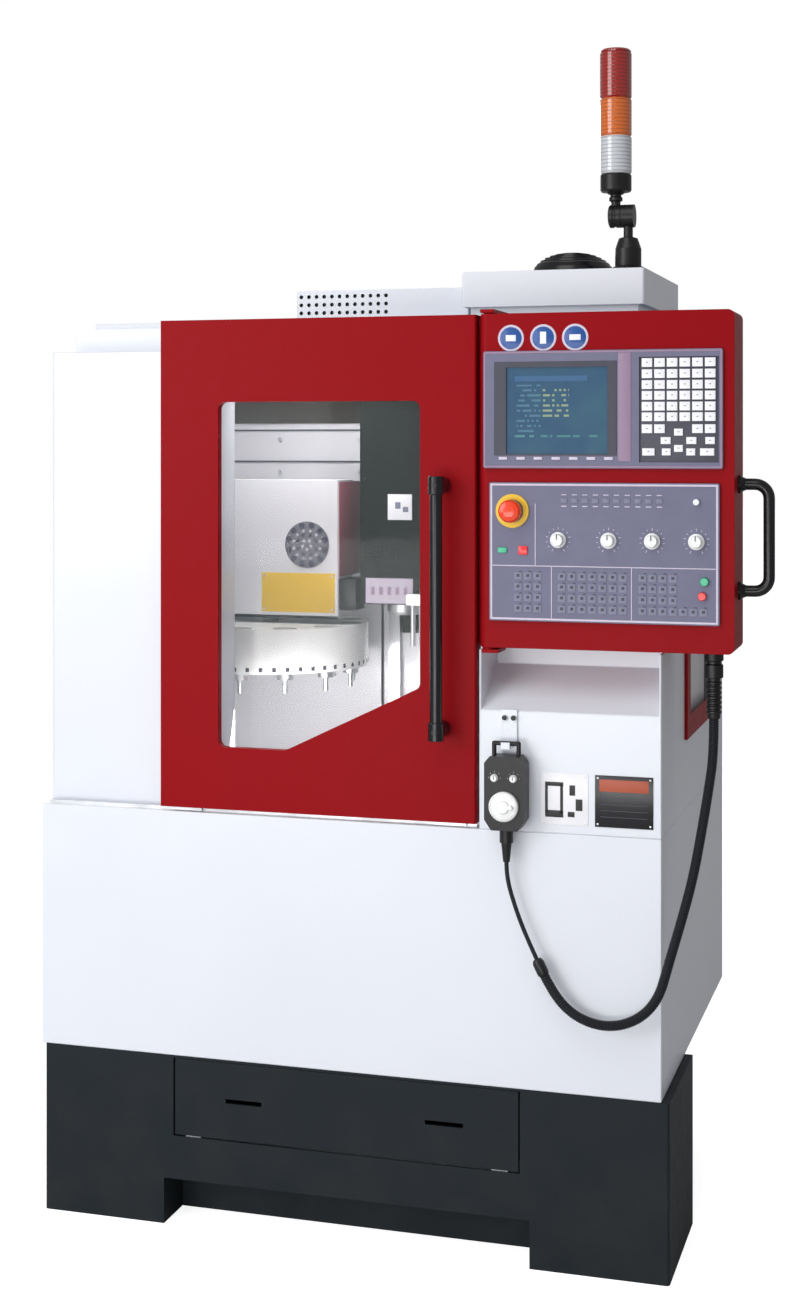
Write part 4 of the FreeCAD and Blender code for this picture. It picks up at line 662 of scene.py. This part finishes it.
def routeLine(name, route):  # edges along the smooth line that a route's points steer
    curve = bpy.data.curves.new(name, "CURVE")
    curve.dimensions = "3D"
    curve.resolution_u = 14
    spline = curve.splines.new("NURBS")
    spline.points.add(len(route) - 1)
    for point, place in zip(spline.points, route):
        point.co = (*mm(*place), 1)
    spline.order_u = 3
    spline.use_endpoint_u = True
    holder = linked(name, curve)
    bpy.context.view_layer.update()
    mesh = bpy.data.meshes.new_from_object(
        holder.evaluated_get(bpy.context.evaluated_depsgraph_get()))
    bpy.data.objects.remove(holder)
    return mesh


hoseLine = routeLine("hoseLine", hoseRoute)
hose = grown("pendantHose", "hose", hoseLine, {
    "Ridge Pitch": lines["ridgePitch"], "Core Radius": lines["hoseRadius"] - lines["ridge"],
    "Ridge Height": lines["ridge"]}, "rubber")
leadLine = routeLine("leadLine", leadRoute)
lead = grown("pendantLead", "hose", leadLine, {
    "Ridge Pitch": 0.004, "Core Radius": lines["leadRadius"], "Ridge Height": 0.0}, "rubber")
hoseEnd, beforeEnd = mm(*hoseRoute[-1]), mm(*hoseRoute[-2])
sleeve = turnedPiece("hoseSleeve", [(0, -0.016), (0.0098, -0.016), (0.0104, -0.012),
                                    (0.0104, 0.006), (0.0075, 0.012), (0.0042, 0.013),
                                    (0, 0.013)], (0, 0, 0), "black", "frame", steps=32)
turn = (hoseEnd - beforeEnd).to_track_quat("Z", "Y").to_matrix().to_4x4()
sleeve.data.transform(Matrix.Translation(hoseEnd) @ turn)
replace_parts(hose, "pendant_hose")
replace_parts(lead, "pendant_lead")
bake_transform(hose, "console", "frame", start=mm(660, -465, 970), end=mm(541.5, -575, 461))
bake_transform(lead, "frame", "pendant", start=mm(*leadRoute[0]), end=mm(*leadRoute[-1]))

# ribbed gland of the hose
gland = {"radius": 0.017, "top": 0.1198, "ridges": 7, "start": 0.008, "pitch": 0.0085,
         "valley": 0.0115, "ridge": 0.0135}
low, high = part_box("hose_gland")
ribs = [(0, 0), (0.0105, 0), (gland["valley"], 0.004)]
for index in range(gland["ridges"]):
    base = gland["start"] + index * gland["pitch"]
    ribs += [(gland["valley"], base), (gland["ridge"], base + 0.002),
             (gland["ridge"], base + 0.005), (gland["valley"], base + 0.007)]
ribs += [(gland["valley"], 0.070), (0.0165, 0.072), (0.0165, 0.094), (0.013, 0.096),
         (0.013, 0.100), (gland["radius"], 0.102), (gland["radius"], gland["top"]),
         (0, gland["top"])]
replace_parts(turnedPiece("hoseGland", ribs, ((low.x + high.x) / 2, (low.y + high.y) / 2,
                                            low.z), "black", "console"), "hose_gland")

# signal tower: black socket, three lenses, a cap, the neck and the knuckle
tower = {"radius": 0.030, "levels": (1.933, 1.967, 2.039, 2.111, 2.2), "neck": 0.0272,
         "knuckle": (0.0175, 1.886)}
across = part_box("tower_lamp")[1].x - tower["radius"]
deep = (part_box("tower_lamp")[0].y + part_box("tower_lamp")[1].y) / 2
floors = tower["levels"]
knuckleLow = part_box("tower_lamp")[0]
pieces = []
for name, coat, slotName, bottom, top in (
        ("towerSocket", "black", "black_plastic", floors[0], floors[1]),
        ("towerWhite", "lampWhite", "lamp_red", floors[1], floors[2]),
        ("towerAmber", "lampAmber", "lamp_red", floors[2], floors[3]),
        ("towerRed", "lampRed", "lamp_red", floors[3], floors[4])):
    r, tall = tower["radius"], top - bottom
    outline = [(0, 0), (r * 0.93, 0), (r, 0.003), (r, tall - 0.003), (r * 0.93, tall),
               (0, tall)]
    pieces.append(turnedPiece(name, outline, (across, deep, bottom), coat, "tower",
                              steps=72, flutes=(0, 0) if name == "towerSocket" else
                              (36, 0.008)))
pieces.append(turnedPiece("towerCap", [(0, 0), (0.029, 0), (0.0295, 0.002), (0.026, 0.0055),
                                       (0.016, 0.0068), (0, 0.007)],
                          (across, deep, floors[4]), "lampRed", "tower"))
neck = [(0, 0), (0.009, 0), (0.009, 0.008), (0.013, 0.010), (0.013, 0.016), (0.0105, 0.018),
        (0.0105, 0.021), (0.015, 0.023), (0.019, 0.027), (0, 0.027)]
turnedPiece("towerNeck", neck, (across, deep, floors[0] - tower["neck"]), "black", "tower")
knuckle = [(0, 0), (0.019, 0), (0.022, 0.002), (0.022, 0.008), (0.0205, 0.010),
           (0.0205, 0.013), (0.022, 0.015), (0.022, 0.0235), (0, 0.0235)]
turnedPiece("towerKnuckle", knuckle,
            (knuckleLow.x + tower["knuckle"][0], deep, tower["knuckle"][1]), "black", "tower",
            axis="x")
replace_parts(pieces[0], "tower_lamp")

# stepped fan dome on the roof box
dome = {"steps": 9, "radius": 0.083, "rise": 0.046, "foot": 0.002, "swell": 0.044,
        "lip": (0.0012, 0.0028), "closing": 0.92}
outline = [(0, 0), (dome["radius"], 0)]
for index in range(dome["steps"]):
    part = index / dome["steps"]
    lean = part * math.pi / 2
    radius = dome["radius"] * math.cos(lean * dome["closing"])
    level = dome["foot"] + dome["swell"] * math.sin(lean)
    outline += [(radius, level), (radius - dome["lip"][0], level + dome["lip"][1])]
outline += [(0, dome["rise"])]
low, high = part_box("fan_dome")
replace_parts(turnedPiece("fanDome", outline, ((low.x + high.x) / 2, (low.y + high.y) / 2,
                                             low.z), "blackPaint", "frame"), "fan_dome")

# bent grip tube of the console, with its two flanges
low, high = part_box("console_handle")
grip = {"radius": 0.010, "bend": 0.024, "flange": 0.016}
axisY = (low.y + high.y) / 2
ends = (high.z - grip["radius"], low.z + grip["radius"])
far = high.x - grip["radius"]
path = [(low.x, ends[0])]
for level, start, sign in ((ends[0], math.pi / 2, 1), (ends[1], 0, -1)):
    centre = (far - grip["bend"], level - sign * grip["bend"])
    path += [(centre[0] + grip["bend"] * math.cos(start - index * math.pi / 16),
              centre[1] + grip["bend"] * math.sin(start - index * math.pi / 16))
             for index in range(9)]
path += [(low.x, ends[1])]
gripLine = bpy.data.meshes.new("gripLine")
gripLine.from_pydata([(x, axisY, z) for x, z in path], [(i, i + 1) for i in range(len(path) - 1)],
                     [])
gripTube = grown("consoleGrip", "hose", gripLine, {
    "Ridge Pitch": 0.012, "Core Radius": grip["radius"], "Ridge Height": 0.0}, "blackPaint")
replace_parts(settle(gripTube, "console"), "console_handle")
for index, level in enumerate(ends):
    turnedPiece(f"gripFlange{index + 1}", [(0, 0), (grip["flange"], 0), (grip["flange"], 0.004),
                                           (0.0125, 0.007), (0.0105, 0.012), (0, 0.012)],
                (low.x, axisY, level), "blackPaint", "console", axis="x")

# display unit: bezel, border lines, soft keys and keypad, mm from its lower left corner
low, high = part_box("display_unit")
corner, face = low.copy(), low.y


def spread(across, up, rise, wide, tall, lean=0.0):  # one mark on the current face, in mm
    return (Vector((corner.x + across / 1000, face, corner.z + up / 1000)),
            (wide / 1000, tall / 1000, rise / 1000), (math.pi / 2, lean, 0))


def frontSpot(x, y, z, wide, tall, rise):  # one mark on a front face, in metres
    return Vector((x, y, z)), (wide, tall, rise), facing["front"]


columns = (290.6, 312.3, 334, 355.8, 377.5, 399.2)
rows = (183, 163.8, 145, 126.4, 107.7, 89.5)
keys = [(x, up, 18, 15) for up in rows for x in columns]
keys += [(x, 68.9, 18, 15) for x in (columns[0], columns[1], columns[4], columns[5])]
keys += [(345, 63, 15, 12), (323, 48.5, 17, 12), (367, 48.5, 17, 12), (399, 48.5, 16, 12),
         (293, 29, 21, 12.5), (324, 29, 15, 12), (345, 35, 15, 12), (366, 29, 15, 12),
         (394, 29, 24, 12.5)]
face = low.y + 0.0042
marks("keypadKeys", [spread(x, up, 3.4, wide, tall) for x, up, wide, tall in keys],
      "keyWhite", "console", taper=0.84)
marks("keypadSymbols", [spread(x, up + 0.5, 3.5, 3.4, 1.3) for x, up, wide, tall in keys],
      "bezel", "console", taper=0.9)
face = low.y
marks("softKeys", [spread(x, 17.5, 1.8, 15, 5) for x in (36, 68, 99, 131, 162, 193, 224)],
      "panelLine", "console")
block("keypadWell", (low.x + 0.2775, low.y + 0.0036, low.z + 0.0115),
      (low.x + 0.4135, low.y + 0.0046, low.z + 0.1925), "bezel", "console",
      slotName="panel_grey")


def rim(name, outer, inner, depth, coat, body):  # a flat frame round an opening
    build = bmesh.new()
    loops = []
    for left, right, bottom, top in (outer, inner):
        loops.append([(left, bottom), (right, bottom), (right, top), (left, top)])
    for index in range(4):
        after = (index + 1) % 4
        corners = [loops[0][index], loops[0][after], loops[1][after], loops[1][index]]
        for y in depth:
            build.faces.new([build.verts.new((x, y, z)) for x, z in corners])
        for a, b in ((loops[0][index], loops[0][after]), (loops[1][index], loops[1][after])):
            build.faces.new([build.verts.new((p[0], y, p[1]))
                             for p, y in ((a, depth[0]), (b, depth[0]),
                                          (b, depth[1]), (a, depth[1]))])
    bmesh.ops.remove_doubles(build, verts=build.verts, dist=1e-6)
    bmesh.ops.recalc_face_normals(build, faces=build.faces)
    made = built(name, build, coat)
    easeEdges(made, 0.0006)
    return settle(made, body)


screenLow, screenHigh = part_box("screen")
rim("screenBezel", (low.x + 0.020, low.x + 0.238, low.z + 0.0225, low.z + 0.187),
    (screenLow.x, screenHigh.x, screenLow.z, screenHigh.z), (low.y - 0.0012, low.y + 0.0005),
    "bezel", "console")
rim("displayBorder", (low.x + 0.001, high.x - 0.001, low.z + 0.001, high.z - 0.001),
    (low.x + 0.0045, high.x - 0.0045, low.z + 0.0045, high.z - 0.0045),
    (low.y - 0.0007, low.y + 0.0005), "lilac", "console")
marks("displayBand", [spread(252, 107, 1.0, 22, 188)], "lilac", "console", taper=0.97)

# three plain round discs on the console, above the display
discs = {"x": (0.314, 0.372, 0.429), "z": 1.636,
         "marks": ((0.018, 0.011), (0.011, 0.021), (0.020, 0.010))}
for index, x in enumerate(discs["x"]):
    spot = (x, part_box("console_case")[0].y, discs["z"])
    turnedPiece(f"discRing{index + 1}", [(0, 0), (0.0235, 0), (0.0235, 0.0007),
                                         (0.0228, 0.0012), (0, 0.0012)], spot,
                "panelLine", "console", axis="-y")
    turnedPiece(f"disc{index + 1}", [(0, 0), (0.0195, 0), (0.0195, 0.0016), (0.0188, 0.0019),
                                     (0, 0.0019)], spot, "blue", "console", axis="-y")
    marks(f"discMark{index + 1}", [frontSpot(*spot, *discs["marks"][index], 0.0024)], "keyWhite",
          "console", taper=0.9)

# operator plate, mm from its lower left corner
low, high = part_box("operator_plate")
corner, face = low.copy(), low.y + 0.003
plateWide = (high.x - low.x) * 1000
rim("plateBorder", (low.x + 0.002, high.x - 0.002, low.z + 0.002, high.z - 0.002),
    (low.x + 0.0055, high.x - 0.0055, low.z + 0.0055, high.z - 0.0055),
    (face - 0.0007, face + 0.0005), "panelLine", "console")
marks("plateLines", [
    spread(plateWide / 2, 97, 0.6, plateWide - 12, 1.6),
    spread(83, 152, 0.6, 1.4, 108), spread(112, 51, 0.6, 1.4, 90),
    spread(253, 51, 0.6, 1.4, 90)], "panelLine", "console", taper=0.97)
lampRow = [134 + 18.6 * index for index in range(10)]
marks("lampWindows", [spread(x, 212, 1.4, 11, 8) for x in lampRow], "panelKey", "console")
marks("lampLabels", [spread(x, 202, 0.5, 9, 1.8) for x in lampRow]
      + [spread(x, 222, 0.5, 9, 1.5) for x in lampRow],
      "panelLine", "console")
marks("keySwitch", [spread(365, 211, 6, 11, 11)], "keyWhite", "console", "disc", 0.85)
marks("redPilot", [spread(61, 124, 3, 16, 15)], "holdRed", "console")
marks("greenPilot", [spread(24, 124, 3, 16, 9)], "green", "console")
groups = [(52, 3, 17.5), (130, 7, 18), (272, 7, 17.5)]
pad = [(first + pitch * column, 22 + 19 * row) for first, count, pitch in groups
       for column in range(count) for row in range(4)]
pad = [(x, up) for x, up in pad if not (x > 340 and 30 < up < 82)]
marks("plateKeys", [spread(x, up, 1.0, 13.5, 13) for x, up in pad], "panelKey", "console",
      taper=0.9)
marks("plateKeySymbols", [spread(x, up + 1, 1.15, 5.5, 5) for x, up in pad], "bezel",
      "console")
marks("plateKeyLamps", [spread(x + 4, up + 8.2, 0.5, 5, 1.6) for x, up in pad if up < 80],
      "bezel", "console")

# ring of the emergency stop, and the dials' scales and pointers
stopLow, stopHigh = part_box("estop_button")
ring = [(0.0203, 0), (0.0302, 0), (0.0302, 0.0024), (0.0294, 0.0033), (0.0235, 0.0037),
        (0.0203, 0.0037)]
turnedPiece("stopRing", ring + ring[:1], ((stopLow.x + stopHigh.x) / 2, face,
                                          (stopLow.z + stopHigh.z) / 2), "yellow", "console",
            axis="-y")
dialPlaces = {"one": 124, "two": 213, "three": 289, "four": 365}
dial = {"ticks": 13, "first": -150, "step": 25, "reach": 20.5, "up": 143}
ticks = []
for across in dialPlaces.values():
    for index in range(dial["ticks"]):
        angle = math.radians(dial["first"] + dial["step"] * index)
        ticks.append(spread(across + dial["reach"] * math.sin(angle),
                            dial["up"] + dial["reach"] * math.cos(angle),
                            0.5, 1.1, 4.2 if index % 3 == 0 else 2.6, lean=angle))
marks("dialTicks", ticks, "panelLine", "console")
for name, across in dialPlaces.items():
    place = (low.x + across / 1000, face - 0.0146, low.z + 0.143)
    marks(f"dialPointer{name.title()}", [(Vector(place) + mm(0, 0, 6), (0.0018, 0.009, 0.0008),
                                          facing["front"])], "bezel",
          bodyOf[f"dial_{name}"])
print("console dressed")

# hand pendant: scale round the wheel, spinner, pointers and dots of the selectors
wheel = {"marks": 40, "reach": 0.0225, "long": 0.0034, "short": 0.002}
selector = {"reach": 0.0105, "dot": 0.0012}
low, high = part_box("pendant_wheel")
hub = Vector(((low.x + high.x) / 2, low.y, (low.z + high.z) / 2))
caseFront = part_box("pendant_case")[0].y
graduations = []
for index in range(wheel["marks"]):
    angle = 2 * math.pi * index / wheel["marks"]
    graduations.append((Vector((hub.x + wheel["reach"] * math.sin(angle), low.y + 0.0041,
                                hub.z + wheel["reach"] * math.cos(angle))),
                        (0.0006, wheel["long"] if index % 5 == 0 else wheel["short"], 0.0004),
                        (math.pi / 2, angle, 0)))
marks("wheelScale", graduations, "bezel", "handwheel")
turnedPiece("wheelSpinner", [(0, 0), (0.0042, 0), (0.0042, 0.004), (0.0034, 0.0062),
                             (0, 0.0066)], hub + Vector((0.014, 0.0035, 0)), "dialWhite",
            "handwheel", axis="-y")
for name, body in (("axis", "axis_knob"), ("step", "step_knob")):
    low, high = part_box(f"{name}_selector")
    middle = (low + high) / 2
    marks(f"{name}Pointer", [frontSpot(middle.x, low.y + 0.0002, middle.z + 0.001, 0.0013, 0.007,
                                       0.0005)], "bezel", body)
    dots = [frontSpot(middle.x + selector["reach"] * math.sin(math.radians(a)), caseFront,
                      middle.z + selector["reach"] * math.cos(math.radians(a)),
                      selector["dot"], selector["dot"], 0.0003) for a in range(-90, 91, 45)]
    marks(f"{name}Dots", dots, "panelLine", "pendant", "disc")

# door handle screws, a little sunk
handle = {"levels": (0.944, 1.377), "sunk": 0.0007}
low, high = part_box("door_handle")
middle = (low.x + high.x) / 2
screws("handleScrews", [Vector((middle, low.y + handle["sunk"], z))
                        for z in handle["levels"]], "front", "front_door", 0.0048, 0.0006, "black")

# magazine cover: round vent, yellow plate, seal, side plate of painted shade and painted red reflection, and
# arm bracket
low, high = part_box("magazine_cover")
coverFace = low.y
vent = {"x": -0.191, "z": 1.247, "radius": 0.047, "rows": (
    ("navy", 12, 0.0395, 0.0125), ("panelLine", 12, 0.0285, 0.005),
    ("navy", 8, 0.0205, 0.0075), ("panelLine", 5, 0.0095, 0.0055))}
turnedPiece("ventDisc", [(0, 0), (vent["radius"], 0), (vent["radius"], 0.001),
                         (vent["radius"] - 0.0008, 0.0016), (0, 0.0016)],
            (vent["x"], coverFace, vent["z"]), "ventGrey", "frame", axis="-y")
petals = {"navy": [], "panelLine": []}
for coat, count, reach, wide in vent["rows"]:
    for index in range(count):
        angle = 2 * math.pi * (index + 0.5) / count
        petals[coat].append(frontSpot(vent["x"] + reach * math.sin(angle), coverFace - 0.0012,
                                      vent["z"] + reach * math.cos(angle), wide, wide, 0.0008))
for coat, spots in petals.items():
    marks(f"{coat}Petals", spots, coat, "frame", "disc")
block("magazinePlate", (-0.288, coverFace - 0.0009, 1.111), (-0.132, coverFace + 0.0005, 1.190),
      "yellow", "frame", 0.0003, "machine_white")
screws("magazinePlateScrews", [Vector((x, coverFace - 0.0009, z)) for x in (-0.282, -0.138)
                               for z in (1.117, 1.184)], "front", "frame", 0.0026, 0.0012)
block("magazineSeal", (-0.437, coverFace - 0.0012, 1.0985), (high.x - 0.001, coverFace + 0.004,
                                                           1.1045), "rubber", "frame",
      0.0008, "black_rubber")
# the cover's right side: a mauve plate that paints its shade and a reflection of the red door
block("magazineSideShade", (high.x, coverFace + 0.004, 1.183), (high.x + 0.0012, -0.015,
                                                           high.z - 0.004), "sideShadeReflection",
      "frame", 0.0005, "signal_red")
block("armBracket", (high.x, coverFace + 0.003, 1.117), (high.x + 0.036, coverFace + 0.078,
                                                         1.180), "blackPaint", "frame",
      0.002, "black_metal")
screws("armBracketScrews", [Vector((high.x + x, coverFace + 0.003, z)) for x in (0.009, 0.027)
                            for z in (1.128, 1.169)], "front", "frame", 0.0034, 0.002,
       "blackPaint")

# head cover plates and screws
low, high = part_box("head_cover")
plateFace = low.y - 0.0012
for name, coat, left, right, bottom, top in (
        ("headPlateHigh", "keyWhite", -0.021, 0.029, 1.299, 1.350),
        ("headPlateLow", "plateLilac", -0.067, 0.031, 1.133, 1.183)):
    block(name, (left, plateFace, bottom), (right, low.y + 0.0005, top), coat, "head", 0.0003,
          "white_plastic")
marks("headPlateMarks", [frontSpot(-0.052 + 0.017 * i, plateFace, 1.158, 0.007, 0.016, 0.0006)
                         for i in range(5)], "lilac", "head")
marks("headPlateDots", [frontSpot(0.000, plateFace, 1.328, 0.011, 0.013, 0.0006),
                        frontSpot(0.016, plateFace, 1.320, 0.011, 0.010, 0.0006)],
      "panelKey", "head")
screws("headCoverScrews", [Vector((x, low.y, z)) for x in (-0.069, 0.069)
                           for z in (1.205, 1.38, 1.56)], "front", "head", 0.0036, 0.002,
       "blackPaint")

# drum: stations as plain dark marks round the rim
low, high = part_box("tool_drum")
middle = (low + high) / 2
drum = {"stations": 48, "radius": (high.x - low.x) / 2}
stations = []
for index in range(drum["stations"]):
    angle = 2 * math.pi * index / drum["stations"]
    stations.append((Vector((middle.x + drum["radius"] * math.cos(angle),
                             middle.y + drum["radius"] * math.sin(angle), low.z + 0.009)),
                     (0.007, 0.008, 0.0006), (math.pi / 2, 0, angle + math.pi / 2)))
marks("drumStations", stations, "bezel", "carousel")

# lining behind the head: a dark band that is painted shadow under the roof, panel seams and screws
lining = {"left": -0.578, "right": -0.116, "band": (1.494, 1.655), "seam": 0.003,
          "seams": (1.368, 1.411, 1.478), "screws": ((-0.50, -0.34, -0.16), (1.39, 1.46))}
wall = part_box("magazine_cover")[1].y - 0.004
# the band is painted shadow, a dark sheet where the roof casts shade on the lining
block("paintedRoofShadow", (lining["left"], wall - 0.001, lining["band"][0]),
      (lining["right"], wall + 0.0012, lining["band"][1]), "bandDark", "frame", 0.0004,
      "machine_white")
for index, z in enumerate(lining["seams"]):
    block(f"liningSeam{index + 1}", (lining["left"], wall - 0.0006, z),
          (lining["right"], wall + 0.001, z + lining["seam"]), "bezel", "frame", 0.0002,
          "machine_white")
# flat cover between the column's rails
way = {"half": 0.078, "low": 1.050, "high": 1.630}
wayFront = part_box("column_casting")[0].y
block("wayCover", (-way["half"], wayFront - 0.0012, way["low"]),
      (way["half"], wayFront + 0.001, way["high"]), "headBlack", "frame", 0.0004,
      "machine_white")
# dark screen behind the roof grille
low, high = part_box("vent_box")
block("ventScreen", (low.x + 0.006, low.y + 0.0052, low.z + 0.006),
      (high.x - 0.006, low.y + 0.0062, high.z - 0.006), "black", "frame", 0.0002,
      "black_plastic")
# trim along the left edge of the console
trim = {"proud": 0.005, "front": 0.020, "back": 0.034, "inset": 0.005}
low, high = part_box("console_case")
block("consoleTrim", (low.x - trim["proud"], low.y + trim["front"], low.z + trim["inset"]),
      (low.x + 0.0012, low.y + trim["back"], high.z - trim["inset"]), "red", "console", 0.0015,
      "signal_red")
screws("liningScrews", [Vector((x, wall - 0.0005, z)) for x in lining["screws"][0]
                        for z in lining["screws"][1]], "front", "frame", 0.005, 0.002)
print("work zone dressed")

# name plates on the side panel, without any lettering
namePlate = {"low": 0.784, "high": 0.874, "rivets": (0.789, 0.869), "inset": 0.005}
low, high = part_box("control_side_panel")
plateFace = low.y - 0.0012
for name, left, right, coat in (("namePlateLeft", 0.368, 0.452, "keyWhite"),
                                ("namePlateRight", 0.464, 0.566, "blackPaint")):
    block(name, (left, plateFace, namePlate["low"]), (right, low.y + 0.0005, namePlate["high"]),
          coat, "frame", 0.0003, "black_metal")
    screws(name + "Rivets", [Vector((x, plateFace, z))
                             for x in (left + namePlate["inset"], right - namePlate["inset"])
                             for z in namePlate["rivets"]], "front", "frame", 0.0018, 0.0009)
block("namePlateHead", (0.472, low.y - 0.0016, 0.846), (0.558, low.y - 0.0010, 0.867), "rust",
      "frame", 0.0002, "signal_red")
marks("namePlateLines", [frontSpot(0.515, plateFace, 0.835 - 0.011 * i, 0.082, 0.0012, 0.0006)
                         for i in range(4)], "bezel", "frame")
marks("namePlateMark", [frontSpot(x, plateFace, z, wide, tall, 0.0006) for x, z, wide, tall in (
    (0.392, 0.855, 0.032, 0.007), (0.392, 0.803, 0.032, 0.012), (0.378, 0.829, 0.005, 0.058),
    (0.405, 0.829, 0.005, 0.058), (0.424, 0.845, 0.010, 0.018), (0.436, 0.820, 0.012, 0.020),
    (0.422, 0.803, 0.012, 0.009))], "black", "frame")

# screws of the pendant's hook
hook = {"across": (0.304, 0.320), "face": -0.548, "level": 0.968}
screws("hookScrews", [Vector((x, hook["face"], hook["level"])) for x in hook["across"]],
       "front", "frame", 0.0045, 0.0015, "black")

# rear cabinet door: two columns of louvres, in two groups each
louvre = {"columns": (-0.16, 0.10), "starts": (1.36, 0.52), "count": 7, "pitch": 0.018,
          "face": 0.4345, "length": 0.16, "lip": 0.009}
hoods = [(Vector((x, louvre["face"], start + louvre["pitch"] * i)), (1, 1, 1), (0, 0, 0))
         for x in louvre["columns"] for start in louvre["starts"]
         for i in range(louvre["count"])]
made = grown("cabinetLouvres", "louvres", seedOf("cabinetLouvres", hoods), {
    "Louvre Length": louvre["length"], "Louvre Lip": louvre["lip"]}, "white")
settle(made, "rear_door")
print("rear dressed")

# studio: pale floor and soft light, mostly from the front left
studio = {"reach": 40, "ambient": 0.36, "paper": 0.85}
reach = studio["reach"]
floorMesh = bpy.data.meshes.new("floor")
floorMesh.from_pydata([(-reach, -reach, 0), (reach, -reach, 0), (reach, reach, 0),
                       (-reach, reach, 0)], [], [(0, 1, 2, 3)])
floor = linked("floor", floorMesh)
paleFloor = Finish("paleFloor", (0.62, 0.62, 0.63), 0.8, {"Emission Strength": studio["paper"],
                                                          "Specular IOR Level": 0.1})
seen = paleFloor.node("ShaderNodeLightPath")
paleFloor.give("Emission Color", paleFloor.between(seen, (0, 0, 0, 1), (1, 1, 1, 1)))
floor.data.materials.append(paleFloor.material)
world = bpy.data.worlds.new("studio")
world.use_nodes = True
book = NodeBook(world.node_tree)
sky = world.node_tree.nodes["Background"]
book.plug(sky.inputs["Color"], (1, 1, 1, 1))
seen = book.node("ShaderNodeLightPath")
book.plug(sky.inputs["Strength"], seen * (1 - studio["ambient"]) + studio["ambient"])
scene.world = world
lights = {  # place, aim, width, height, power
    "key": ((-2.5, -4.2, 2.1), (-0.1, -0.2, 1.0), 2.4, 2.4, 88),
    "fill": ((-0.2, -4.5, 0.62), (-0.1, -0.3, 1.1), 3.0, 0.9, 50),
    "top": ((-0.3, -2.6, 4.0), (-0.1, -0.2, 1.2), 2.2, 2.2, 38),
    "rear": ((-1.8, 4.4, 2.2), (0, 0.3, 1.1), 2.4, 1.6, 46),
    "inside": ((-0.15, -0.27, 1.62), (-0.15, -0.20, 1.0), 0.34, 0.20, 2.3),
    "low": ((-0.16, -0.42, 0.90), (-0.10, 0.05, 0.74), 0.30, 0.08, 1.9)}
for name, (place, aim, wide, high, power) in lights.items():
    lightData = bpy.data.lights.new(name, "AREA")
    lightData.shape, lightData.energy = "RECTANGLE", power
    lightData.size, lightData.size_y = wide, high
    light = bpy.data.objects.new(name, lightData)
    light.location = place
    light.visible_camera = False
    light.rotation_euler = (Vector(aim) - Vector(place)).to_track_quat("-Z", "Y").to_euler()
    scene.collection.objects.link(light)
scene.view_settings.view_transform = "Standard"
print("studio set")
